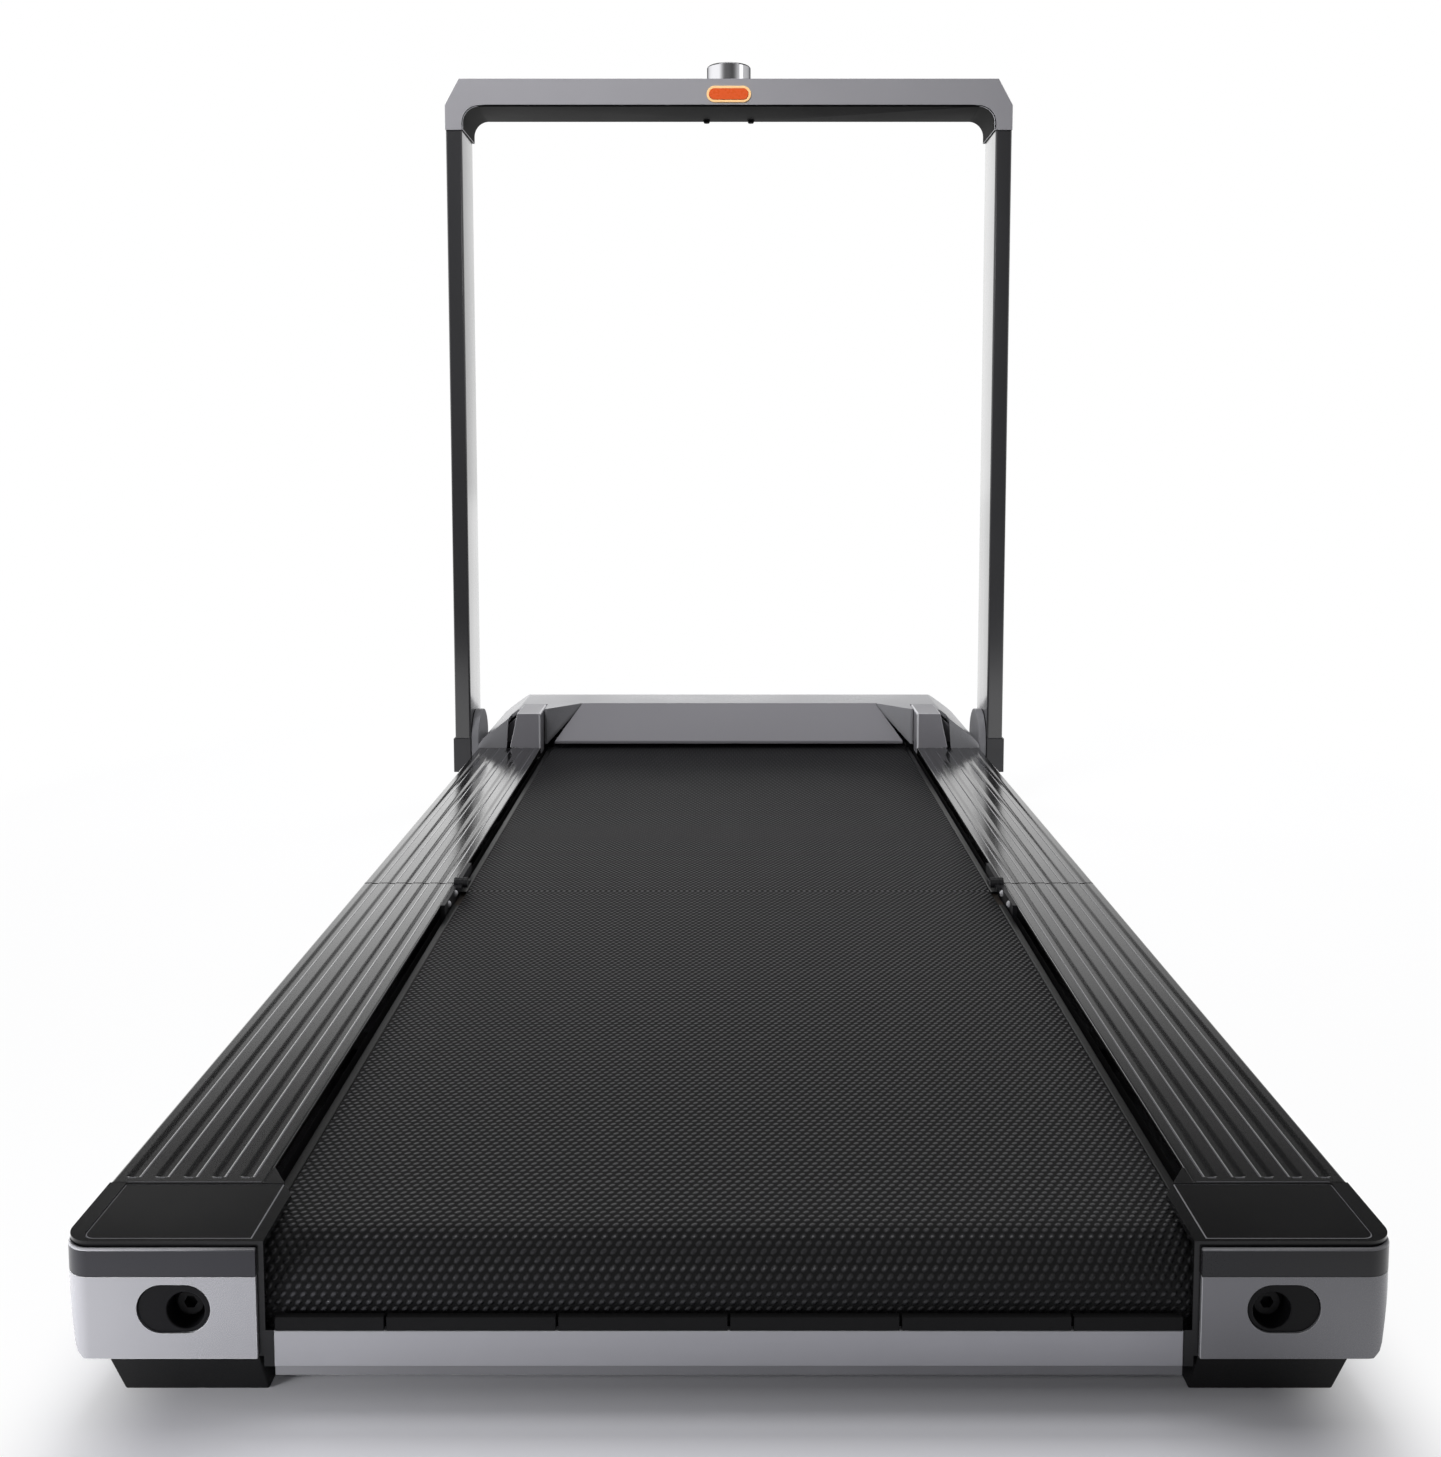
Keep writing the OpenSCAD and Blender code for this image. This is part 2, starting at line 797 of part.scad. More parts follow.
// The hood seen from behind, drawn in by e: flat top with sloping shoulders
module hood_section(e) {
    line = [[xo - e, rail_z - cover_h], [xo - e, rail_z + 4], [xo - 6 - e, rail_z + 12 - e],
        [xr + block_w - 3 - e, hood_top - 3 - e], [xr + block_w - 7 - e, hood_top - e]];
    polygon(concat(line, [for (i = [len(line) - 1 : -1 : 0]) [-line[i][0], line[i][1]]]));
}

// The hood seen from the side, drawn in by e: flat, then rounded down to the nose
module hood_profile(e) {
    ya = hood_y + e;
    yc = nose_y - nose_round;
    zc = rail_z - 10;
    polygon(concat([[ya, rail_z - cover_h], [ya, hood_top - e]],
        arc(yc, zc, nose_round - e, hood_top - e - zc, 90, 0),
        [[nose_y - e, rail_z - cover_h]]));
}

module hood_form(e) {
    intersection() {
        along_y(hood_y, nose_y) hood_section(e);
        along_x(-xo, xo) hood_profile(e);
        upward(0, hood_top + 1) front_plan(e, hood_y - 1);
    }
}

// The space over the belt in front of the blocks, down to the ramp
module hood_recess() {
    lip = ramp_w / 2 + 10;
    upward(rail_z - cover_h - 1, hood_top + 1) polygon([[-xr, hood_y - 1], [-xr, ramp_y],
        [-lip, ramp_y], [-ramp_top_w / 2, ramp_end], [ramp_top_w / 2, ramp_end],
        [lip, ramp_y], [xr, ramp_y], [xr, hood_y - 1]]);
}

// Upright walls from the ramp's slanting sides up to the hood's top
module ramp_cheeks() {
    lip = ramp_w / 2 + 10;
    intersection() {
        both_sides() upward(ramp_z - 4, hood_top - 1) polygon([[lip, ramp_y],
            [lip + hood_t, ramp_y], [ramp_top_w / 2 + hood_t + 1, ramp_end],
            [ramp_top_w / 2, ramp_end]]);
        along_x(-xr, xr) polygon([[ramp_y, ramp_z - 4], [ramp_y, hood_top - 1],
            [ramp_end, hood_top - 1], [ramp_end, hood_top - 4]]);
    }
}

module hood_cover() {
    block_end = hood_y + 70;
    color("#8f8f93") {
        difference() {
            hood_form(0);
            hood_form(hood_t);
            hood_recess();
            both_sides() along_y(hood_y - 1, hood_y + 30) polygon([[xr - 1, rail_z - cover_h - 1],
                [xr + block_w + slot_w, rail_z - cover_h - 1], [xr + block_w + slot_w, rail_z],
                [xr + block_w + 1, hood_top + 1], [xr - 1, hood_top + 1]]);
            both_sides() along_y(hood_y + 29, block_end) polygon([[xr - 1, rail_z - cover_h - 1],
                [xr + block_w + touch_gap, rail_z - cover_h - 1],
                [xr + block_w + touch_gap, rail_z], [xr + block_top_w + touch_gap, hood_top],
                [xr + block_top_w + touch_gap, hood_top + 1], [xr - 1, hood_top + 1]]);
        }
        ramp_cheeks();
    }
}

// The grey panel that slopes up from the belt
module hood_ramp() {
    color("#7e7c82") intersection() {
        upward(0, hood_top + 1) polygon([[-ramp_w / 2, ramp_y], [ramp_w / 2, ramp_y],
            [ramp_top_w / 2 - touch_gap, ramp_end], [-ramp_top_w / 2 + touch_gap, ramp_end]]);
        along_x(-xr, xr) polygon([[ramp_y, ramp_z], [ramp_end, hood_top],
            [ramp_end, hood_top - 4], [ramp_y, ramp_z - 4]]);
    }
}

// Blocks at the rails' front ends, standing on the channels
module hood_end_blocks() {
    color("#66656a") both_sides() {
        along_y(hood_y, hood_y + 70 - touch_gap) polygon([[xr, rail_z], [xr + block_w, rail_z],
            [xr + block_top_w, hood_top], [xr, hood_top]]);
        box([xr, hood_y, chan_top], [xf, tray_y, rail_z + eps]);
        along_y(hood_y + 31, hood_y + 34) polygon([[xr + block_w - 4, rail_z + 2],
            [xr + block_w + 14, rail_z + 2], [xr + block_w + 14, rail_z + 18],
            [xr + block_w - 2, hood_top - 13], [xr + block_top_w - 2, hood_top - 9]]);
    }
}

// Bumper round the front end, with windows for the wheels and the power module
module front_fascia() {
    za = beam_bot + 2;
    color("#2a2a2c") difference() {
        upward(za, rail_z - cover_h - touch_gap) front_plan(0, fascia_y + touch_gap);
        upward(za - 1, rail_z) front_plan(hood_t, fascia_y - 1);
        both_sides() box([xf + 2, nose_y - 60, 0], [xf + wheel_w + 14, y1, wheel_z + wheel_d / 2 + 4]);
        box([inlet_x - inlet_w / 2 - 4, nose_y - 10, rocker_z - inlet_h / 2 - 4],
            [rocker_x + rocker_w / 2 + 5, y1, rocker_z + inlet_h / 2 + 4]);
    }
}

module motor_can() {
    color("#4a4a4e") difference() {
        union() {
            rod_x(motor_x0, motor_x1, motor_d / 2, motor_y, motor_z);
            rod_x(motor_x0 - 6, motor_x1 + 6, motor_d / 4, motor_y, motor_z);
        }
        rod_x(motor_x0 - 7, motor_x1 + 7, shaft_r + run_fit, motor_y, motor_z);
    }
}

module motor_cradle() {
    color("dimgray") along_x(motor_x0 + 30, motor_x1 - 30) difference() {
        translate([motor_y - cradle_w / 2, pan_top + tray_t])
            square([cradle_w, motor_z - cradle_w / 3 - pan_top - tray_t]);
        translate([motor_y, motor_z]) circle(motor_d / 2);
    }
}

// Shaft with the small pulley at one end and a cooling fan at the other
module motor_rotor() {
    fan_x = motor_x0 - 30;
    color("silver") {
        rod_x(fan_x - 4, pulley_x0 + pulley_w, shaft_r, motor_y, motor_z);
        rod_x(pulley_x0, pulley_x0 + pulley_w, small_pulley_d / 2, motor_y, motor_z);
        rod_x(fan_x, fan_x + 3, motor_d / 2 - 8, motor_y, motor_z);
        for (a = [0 : 45 : 315]) translate([fan_x, motor_y, motor_z]) rotate([a, 0, 0])
            box([0, shaft_r - 1, -1], [16, motor_d / 2 - 8, 1]);
    }
}

module motor_controller() {
    xa = -xf + control_side;
    xb = motor_x0 - 50;
    ya = motor_y - control_box[0] / 2;
    za = pan_top + tray_t;
    zb = za + control_box[1];
    slot = control_box[0] / 14;
    color("#5c5c60") difference() {
        box([xa, ya, za], [xb, ya + control_box[0], zb]);
        for (i = [0 : 5])
            box([xa - 1, ya + (2 * i + 1.5) * slot, zb - fin_h],
                [xb + 1, ya + (2 * i + 2.5) * slot, zb + 1]);
    }
}

// Mains socket with three blades, and the frame of the rocker switch
module power_inlet() {
    deep = 18;
    xa = inlet_x - inlet_w / 2 - 3;
    xb = rocker_x + rocker_w / 2 + 4;
    za = rocker_z - inlet_h / 2;
    zb = rocker_z + inlet_h / 2;
    color("#141414") difference() {
        union() {
            box([xa, nose_y - deep - 4, za - 3], [xb, nose_y + eps, zb + 3]);
            box([xa - 3, nose_y, za - 6], [xb + 3, nose_y + 1.5, zb + 6]);
        }
        box([inlet_x - inlet_w / 2, nose_y - deep, za], [inlet_x + inlet_w / 2, y1 + 1, zb]);
        box([rocker_x - rocker_w / 2 - 0.5, nose_y - deep, za - 1.5],
            [rocker_x + rocker_w / 2 + 0.5, y1 + 1, zb + 1.5]);
        rod_x(rocker_x - rocker_w / 2 - 2, rocker_x + rocker_w / 2 + 2,
            rocker_pin + run_fit, rocker_y, rocker_z);
    }
    color("silver") for (p = [[-7, -2], [0, 2.5], [7, -2]])
        box([inlet_x + p[0] - 1, nose_y - deep - eps, rocker_z + p[1] - 2],
            [inlet_x + p[0] + 1, nose_y - 4, rocker_z + p[1] + 2]);
}

// Rocker with a hub on its pivot, lying on its off side
module power_rocker() {
    color("#1a1a1a") {
        translate([0, rocker_y, rocker_z]) rotate([off_tilt, 0, 0])
            along_x(rocker_x - rocker_w / 2, rocker_x + rocker_w / 2)
                polygon([[-4, -5], [4, -9], [6.4, -9], [4.8, 0], [6.4, 9], [4, 9], [-4, 5]]);
        rod_x(rocker_x - rocker_w / 2 - 1.8, rocker_x + rocker_w / 2 + 1.8,
            rocker_pin, rocker_y, rocker_z);
    }
}

// Round-topped lugs on the deck's sides, each with the pin that the handle turns on
module handle_hinge_lugs() {
    r = upright_d / 2;
    color("#55555a") both_sides() {
        along_x(xo, xo + lug_t) {
            translate([pivot_y, pivot_z]) circle(r);
            translate([pivot_y - r, beam_bot + 6]) square([2 * r, pivot_z - beam_bot - 6]);
        }
        rod_x(xo + lug_t - 1, up_x1 - upright_t - 1, pivot_r, pivot_y, pivot_z);
    }
}

// Stub axles of the transport wheels, fixed in the tray's walls
module wheel_axles() {
    x_end = wheel_x0 + wheel_w;
    color("silver") both_sides() {
        rod_x(xf, x_end + 4, stub_r, wheel_y, wheel_z);
        rod_x(xf, wheel_x0 - 1, stub_r + 5, wheel_y, wheel_z);
        rod_x(x_end + 1, x_end + 4, stub_r + 4, wheel_y, wheel_z);
    }
}

module wheel(s) {
    xa = s > 0 ? wheel_x0 : -wheel_x0 - wheel_w;
    color("#2b2b2b") difference() {
        rod_x(xa, xa + wheel_w, wheel_d / 2, wheel_y, wheel_z);
        rod_x(xa - 1, xa + wheel_w + 1, stub_r + run_fit, wheel_y, wheel_z);
        for (x = [xa - 1, xa + wheel_w - 4]) difference() {
            rod_x(x, x + 5, wheel_d / 2 - 6, wheel_y, wheel_z);
            rod_x(x - 1, x + 6, stub_r + 4, wheel_y, wheel_z);
        }
    }
}

module wheel_left() {
    wheel(-1);
}

module wheel_right() {
    wheel(1);
}

// Ribbed belt from the motor's pulley to the roller's pulley
module ribbed_belt() {
    ra_big = big_pulley_d / 2 + belt_gap;
    ra_small = small_pulley_d / 2 + belt_gap;
    color("#181818") along_x(pulley_x0 + 1, pulley_x0 + pulley_w - 1) difference() {
        hull() {
            translate([drive_y, roll_z]) circle(ra_big + rib_belt_t);
            translate([motor_y, motor_z]) circle(ra_small + rib_belt_t);
        }
        hull() {
            translate([drive_y, roll_z]) circle(ra_big);
            translate([motor_y, motor_z]) circle(ra_small);
        }
    }
}

module drive_pulley() {
    hub = belt_w / 2 + 1;
    color("gray") difference() {
        union() {
            rod_x(hub, pulley_x0 + 1, r_roll - 3, drive_y, roll_z);
            rod_x(pulley_x0, pulley_x0 + pulley_w, big_pulley_d / 2, drive_y, roll_z);
        }
        rod_x(hub - 1, pulley_x0 + pulley_w + 1, axle_d / 2 + 1, drive_y, roll_z);
        rod_x(pulley_x0 + 4, pulley_x0 + pulley_w + 1, big_pulley_d / 2 - 4, drive_y, roll_z);
    }
}

// Hollow upright with a bored hub at its foot and a tenon in the console's leg
module upright(s) {
    xm = (up_x0 + up_x1) / 2;
    ym = (up_y0 + up_y1) / 2;
    inner = [upright_w - 2 * upright_t, upright_d - 2 * upright_t];
    tenon = [inner[0] - 2 * touch_gap, inner[1] - 2 * touch_gap];
    color("#3a3a3d") mirror([s < 0 ? 1 : 0, 0, 0]) difference() {
        union() {
            translate([xm, ym, 0]) {
                upward(up_z0, leg_z) difference() {
                    soft_rect(upright_w, upright_d, 2.5);
                    square(inner, center = true);
                }
                upward(leg_z - 20, leg_z + tenon_h) difference() {
                    square([inner[0] - 1, inner[1] - 10], center = true);
                    square([tenon[0] - 6, tenon[1] - 20], center = true);
                }
                upward(leg_z - 20, leg_z - 16) square([inner[0] + eps, inner[1] + eps], center = true);
            }
            box([up_x0 + 1, pivot_y - 18, pivot_z - 20], [up_x1 - 1, pivot_y + 18, pivot_z + 20]);
        }
        rod_x(up_x0 - 1, up_x1 - upright_t - 0.5, pivot_r + run_fit, pivot_y, pivot_z);
    }
}

module upright_left() {
    upright(-1);
}

module upright_right() {
    upright(1);
}

// Shoes round the foot of each upright, open towards the deck
module upright_sleeves() {
    color("#38383b") both_sides() difference() {
        box([up_x0, up_y0 - 2, up_z0 - 2], [up_x1 + 2, up_y1 + 2, sleeve_top]);
        box([up_x0 - 1, up_y0, up_z0], [up_x1, up_y1, sleeve_top + 1]);
    }
}

// The console seen from behind, drawn in by e at its outer sides and top
module console_outer(e) {
    cx = console_chamfer[0];
    cz = console_chamfer[1];
    right = [[up_x1 - e, leg_z], [up_x1 - e, console_z - cz - e / 2],
        [up_x1 - cx - e / 2, console_z - e]];
    polygon(concat(right, [for (i = [2 : -1 : 0]) [-right[i][0], right[i][1]]]));
}

// The space under the bar, grown by e
module console_void(e) {
    w = leg_in + e;
    zc = bar_z - corner_r;
    translate([-w, leg_z - 5]) square([2 * w, zc - leg_z + 5]);
    translate([-leg_in + corner_r, leg_z - 5])
        square([2 * (leg_in - corner_r), bar_z + e - leg_z + 5]);
    for (s = [-1, 1]) translate([s * (leg_in - corner_r), zc]) circle(corner_r + e);
}

module button_opening(grow, ya, yb) {
    translate([0, yb, button_z]) rotate([90, 0, 0])
        linear_extrude(yb - ya) pill(button_w + grow, button_h + grow);
}

// Grey cover: bar and legs, hollow, open underneath
module console_shell() {
    color("#a0a0a4") difference() {
        along_y(console_y, console_y1) difference() {
            console_outer(0);
            console_void(shell_t);
        }
        along_y(console_y + shell_t, console_y1 - shell_t) difference() {
            console_outer(shell_t);
            console_void(shell_t - eps);
        }
        both_sides() box([up_x0 - 1, up_y0 + 4, leg_z - 1],
            [up_x1 - shell_t, up_y1 - 4, leg_z + shell_t + 1]);
        button_opening(0.6, console_y - 1, console_y + shell_t + 1);
        translate([0, knob_y, console_z - shell_t - 1]) cylinder(h = shell_t + 2,
            r = encoder_r + 2 * skin_gap);
    }
}

// Dark underside that follows the inner corners, with two rubber studs
module console_liner() {
    color("#1e1e1e") {
        intersection() {
            along_y(console_y, console_y1) difference() {
                console_void(shell_t);
                console_void(0);
            }
            box([-up_x1, console_y, leg_z], [up_x1, console_y1, console_z]);
        }
        for (s = [-1, 1]) translate([s * 29.5, console_y1 - 8, bar_z - 3.5])
            cylinder(h = 3.5 + eps, r1 = 3.5, r2 = 5, $fn = 32);
    }
}

module button_ring() {
    color("#e8c08a") difference() {
        translate([0, console_y, button_z]) rotate([90, 0, 0]) linear_extrude(1.5)
            pill(ring_w, ring_h);
        button_opening(0.6, console_y - 2, console_y + 1);
    }
}

// Circuit board behind the button, with the button's switch on it
module control_board() {
    y = console_y + shell_t + 9;
    color("darkgreen") {
        box([-70, y, bar_z + shell_t], [70, y + 1.6, console_z - shell_t - 2]);
        box([-5, y - 3, button_z - 4], [5, y + eps, button_z + 4]);
    }
}

// Rotary encoder under the knob, standing on the liner
module encoder() {
    color("#777777") difference() {
        union() {
            box([-8, knob_y - 8, bar_z + shell_t], [8, knob_y + 8, console_z - 16]);
            translate([0, knob_y, console_z - 16 - eps]) cylinder(h = 16, r = encoder_r);
        }
        translate([0, knob_y, console_z - 18]) cylinder(h = 20, r = spindle_r + run_fit);
    }
}

// Button with a flange behind the console's wall and a stem to the switch
module stop_button() {
    color("#c8501e") {
        button_opening(0, console_y - 2.2, console_y + shell_t + touch_gap);
        translate([0, console_y + shell_t + 1.5, button_z]) rotate([90, 0, 0])
            linear_extrude(1.2) pill(button_w + 4, button_h + 3);
        rod_y(console_y + shell_t + 1, console_y + shell_t + 6 - button_travel - touch_gap,
            2.5, 0, button_z);
    }
}

module speed_knob() {
    z = console_z + knob_gap;
    color("#c0c0c4") {
        translate([0, knob_y, 0]) rotate_extrude() polygon([[0, z], [knob_d / 2 - 1, z],
            [knob_d / 2, z + 1], [knob_d / 2, z + knob_h - 1.5],
            [knob_d / 2 - 1.5, z + knob_h], [0, z + knob_h]]);
        translate([0, knob_y, console_z - 17.5]) cylinder(h = 18.5, r = spindle_r);
    }
}

rear_frame();
rear_rail_covers();
rear_side_beams();
rear_running_board();
rear_cushions();
rear_walking_belt();
rear_belt_guides();
rear_bottom_pan();
rear_caps();
cap_top_plates();
cap_bands();
cap_faces();
bolt_port_inserts();
rear_feet();
rear_guard_strip();
rear_cross_beam();
rear_hinge_leaves();
idler_axle();
idler_roller();
tension_bolt_left();
tension_bolt_right();
front_frame();
front_rail_covers();
front_side_beams();
front_running_board();
front_cushions();
front_walking_belt();
front_belt_guides();
front_bottom_pan();
front_hinge_leaves();
deck_hinge_pins();
front_feet();
hood_cover();
hood_ramp();
hood_end_blocks();
front_fascia();
motor_can();
motor_cradle();
motor_controller();
power_inlet();
handle_hinge_lugs();
wheel_axles();
drive_axle();
ribbed_belt();
drive_roller();
drive_pulley();
motor_rotor();
wheel_left();
wheel_right();
power_rocker();
upright_left();
upright_right();
upright_sleeves();
console_shell();
console_liner();
button_ring();
control_board();
encoder();
stop_button();
speed_knob();
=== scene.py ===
"""Folding walking pad on a pale studio floor, seen from behind and a little above.

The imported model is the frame. Its hidden pieces get their finishes here, the pieces in view become
copies with broken edges, and the belt and the fluted rail covers are new surfaces. Blender's units are
metres, +Z is up and the rear end points towards -Y.
"""
import json
import math
import bmesh
import bpy
import numpy as np
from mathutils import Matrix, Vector

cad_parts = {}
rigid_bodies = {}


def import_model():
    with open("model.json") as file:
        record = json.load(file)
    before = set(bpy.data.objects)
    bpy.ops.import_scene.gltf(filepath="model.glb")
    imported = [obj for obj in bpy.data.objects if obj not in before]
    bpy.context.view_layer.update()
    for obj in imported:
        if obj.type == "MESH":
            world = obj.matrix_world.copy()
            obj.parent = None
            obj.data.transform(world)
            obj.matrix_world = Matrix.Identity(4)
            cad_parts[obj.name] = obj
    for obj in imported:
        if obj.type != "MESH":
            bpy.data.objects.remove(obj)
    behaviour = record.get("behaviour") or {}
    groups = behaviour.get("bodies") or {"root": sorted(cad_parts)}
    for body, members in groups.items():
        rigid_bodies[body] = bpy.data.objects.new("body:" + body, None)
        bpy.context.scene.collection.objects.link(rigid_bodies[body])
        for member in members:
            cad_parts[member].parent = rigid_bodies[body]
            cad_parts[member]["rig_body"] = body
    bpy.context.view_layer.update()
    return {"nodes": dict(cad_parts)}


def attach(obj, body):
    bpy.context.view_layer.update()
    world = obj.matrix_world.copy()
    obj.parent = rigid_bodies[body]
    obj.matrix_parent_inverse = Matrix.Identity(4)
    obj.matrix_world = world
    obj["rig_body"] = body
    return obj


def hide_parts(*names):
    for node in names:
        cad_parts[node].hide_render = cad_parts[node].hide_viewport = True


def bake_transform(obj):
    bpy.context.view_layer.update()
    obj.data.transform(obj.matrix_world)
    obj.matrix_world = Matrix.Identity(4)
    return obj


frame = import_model()
MM = 0.001


# Camera: where the photograph was taken, 0.68 m behind the rear end and 0.47 m above the floor.
# It looks along the deck and about five degrees down. The shifts put the pad where the photograph has it.
eye = Vector((0.0, -1398.1 * MM, 473.4 * MM))
pitch = math.radians(4.811)
lens_data = bpy.data.cameras.new("photo_camera")
lens_data.sensor_width = 36.0
lens_data.lens = 35.58
lens_data.shift_x = -0.0057
lens_data.shift_y = -0.1063
lens_data.clip_start = 0.05
lens_data.clip_end = 60.0
camera = bpy.data.objects.new("photo_camera", lens_data)
camera.location = eye
camera.rotation_euler = (math.pi / 2 - pitch, 0.0, 0.0)
bpy.context.scene.collection.objects.link(camera)
bpy.context.scene.camera = camera
bpy.context.scene.view_settings.view_transform = "Standard"


# Studio floor: white vinyl sheet laid flat, which keeps the pad's soft shadow and runs out to white.
# The camera and reflections see it brighter than the light that it gives back to the pad.
def linear(code):
    """Linear RGBA of an sRGB hex colour such as "8C8C90", opaque."""
    part = [int(code[i:i + 2], 16) / 255.0 for i in (0, 2, 4)]
    return tuple(c / 12.92 if c <= 0.04045 else ((c + 0.055) / 1.055) ** 2.4 for c in part) + (1.0,)


def add(tree, kind, sockets=None, **settings):
    """Adds one node. settings are its properties; a socket takes a value or another node's output."""
    made = tree.nodes.new(kind)
    for key, value in settings.items():
        setattr(made, key, value)
    for key, value in (sockets or {}).items():
        if isinstance(value, bpy.types.NodeSocket):
            tree.links.new(value, made.inputs[key])
        else:
            made.inputs[key].default_value = value
    return made


def new_material(name):
    """An empty node material, and its tree."""
    made = bpy.data.materials.new(name)
    made.use_nodes = True
    made.node_tree.nodes.clear()
    return made, made.node_tree


def seen_directly(tree):
    """1 for rays from the camera, from reflections and through glass, and 0 for the light's own."""
    path = add(tree, "ShaderNodeLightPath").outputs
    either = add(tree, "ShaderNodeMath", {0: path["Is Camera Ray"], 1: path["Is Glossy Ray"]},
                 operation="MAXIMUM").outputs[0]
    return add(tree, "ShaderNodeMath", {0: either, 1: path["Is Transmission Ray"]},
               operation="MAXIMUM").outputs[0]


floor_vinyl, tree = new_material("matt_white_vinyl")
spot = add(tree, "ShaderNodeTexCoord").outputs["Object"]
on_floor = add(tree, "ShaderNodeSeparateXYZ", {0: spot}).outputs
# The sheet turns into white light ahead of the pad, and nearly so beside it and behind the camera.
nearly_white = 0.93
from_rear = add(tree, "ShaderNodeMapping", {"Vector": spot, "Location": (0.0, 0.2, 0.0),
                                            "Scale": (1.25, 0.8, 1.0)}, vector_type="POINT").outputs[0]
near = add(tree, "ShaderNodeVectorMath", {0: from_rear}, operation="LENGTH").outputs["Value"]
ahead = add(tree, "ShaderNodeMapRange", {"Value": near, "From Min": 0.7, "From Max": 1.5},
            interpolation_type="SMOOTHSTEP").outputs[0]
aside = add(tree, "ShaderNodeMath", {0: on_floor["X"]}, operation="ABSOLUTE").outputs[0]
beside = add(tree, "ShaderNodeMapRange", {"Value": aside, "From Min": 0.27, "From Max": 0.37,
                                          "To Max": nearly_white},
             interpolation_type="SMOOTHSTEP").outputs[0]
rearward = add(tree, "ShaderNodeMapRange", {"Value": on_floor["Y"], "From Min": -0.80, "From Max": -1.05,
                                            "To Max": nearly_white},
               interpolation_type="SMOOTHSTEP").outputs[0]
around = add(tree, "ShaderNodeMath", {0: ahead, 1: beside}, operation="MAXIMUM").outputs[0]
fade = add(tree, "ShaderNodeMath", {0: around, 1: rearward}, operation="MAXIMUM").outputs[0]
sheet = add(tree, "ShaderNodeBsdfDiffuse", {"Color": linear("969698")}).outputs[0]
gleam = add(tree, "ShaderNodeBsdfDiffuse", {"Color": linear("C4C4CA")}).outputs[0]
seen_sheet = add(tree, "ShaderNodeAddShader", {0: sheet, 1: gleam}).outputs[0]
# In reflections the white is dimmer behind the rear end, so that it doesn't wash the caps' faces out.
mirrored_lane = add(tree, "ShaderNodeMapRange", {"Value": on_floor["Y"], "From Min": -1.0, "From Max": -0.6,
                                                 "To Min": 0.15, "To Max": 1.3}).outputs[0]
in_gloss = add(tree, "ShaderNodeLightPath").outputs["Is Glossy Ray"]
glow = add(tree, "ShaderNodeMapRange", {"Value": in_gloss, "To Min": 1.0,
                                        "To Max": mirrored_lane}).outputs[0]
white = add(tree, "ShaderNodeEmission", {"Color": (1, 1, 1, 1), "Strength": glow}).outputs[0]
shown = add(tree, "ShaderNodeMixShader", {0: fade, 1: seen_sheet, 2: white}).outputs[0]
result = add(tree, "ShaderNodeMixShader", {0: seen_directly(tree), 1: sheet, 2: shown}).outputs[0]
add(tree, "ShaderNodeOutputMaterial", {"Surface": result})

reach = 14.0
floor_mesh = bpy.data.meshes.new("studio_floor")
floor_mesh.from_pydata([(-reach, -reach, 0), (reach, -reach, 0), (reach, reach, 0), (-reach, reach, 0)],
                       [], [(0, 1, 2, 3)])
studio_floor = bpy.data.objects.new("studio_floor", floor_mesh)
bpy.context.scene.collection.objects.link(studio_floor)
studio_floor.data.materials.append(floor_vinyl)


# Studio backdrop: white to the camera. Reflections see it white near the horizon and dim above, as in a
# studio with a lit backdrop and a dark ceiling, dim behind the camera and darker to the right. Matt
# surfaces get a weak fill from it, mostly from ahead.
world = bpy.data.worlds.new("white_studio")
bpy.context.scene.world = world
world.use_nodes = True
world.cycles.sampling_method = "NONE"
world.node_tree.nodes.clear()
tree = world.node_tree
rays = add(tree, "ShaderNodeLightPath").outputs
compass = add(tree, "ShaderNodeTexCoord").outputs["Generated"]
towards = add(tree, "ShaderNodeSeparateXYZ", {0: compass}).outputs
height = add(tree, "ShaderNodeMapRange", {"Value": towards["Z"], "From Min": 0.22, "From Max": 0.43,
                                          "To Min": 1.3, "To Max": 0.05},
             interpolation_type="SMOOTHSTEP").outputs[0]
behind = add(tree, "ShaderNodeMapRange", {"Value": towards["Y"], "From Min": -0.95, "From Max": -0.55,
                                          "To Min": 0.12, "To Max": 1.0},
             interpolation_type="SMOOTHSTEP").outputs[0]
sideways = add(tree, "ShaderNodeMapRange", {"Value": towards["X"], "From Min": -0.2, "From Max": 0.4,
                                            "To Min": 1.15, "To Max": 0.6}).outputs[0]
level = add(tree, "ShaderNodeMath", {0: height, 1: behind}, operation="MULTIPLY").outputs[0]
mirrored = add(tree, "ShaderNodeMath", {0: level, 1: sideways}, operation="MULTIPLY").outputs[0]
fill = add(tree, "ShaderNodeMapRange", {"Value": towards["Y"], "From Min": -0.5, "From Max": 0.5,
                                        "To Min": 0.03, "To Max": 0.45}).outputs[0]
gloss_or_fill = add(tree, "ShaderNodeMapRange", {"Value": rays["Is Glossy Ray"],
                                                 "To Min": fill, "To Max": mirrored}).outputs[0]
clear_or_seen = add(tree, "ShaderNodeMath", {0: rays["Is Camera Ray"], 1: rays["Is Transmission Ray"]},
                    operation="MAXIMUM").outputs[0]
strength = add(tree, "ShaderNodeMapRange", {"Value": clear_or_seen, "To Min": gloss_or_fill,
                                            "To Max": 1.0}).outputs[0]
sky = add(tree, "ShaderNodeBackground", {"Color": (1, 1, 1, 1), "Strength": strength}).outputs[0]
add(tree, "ShaderNodeOutputWorld", {"Surface": sky})


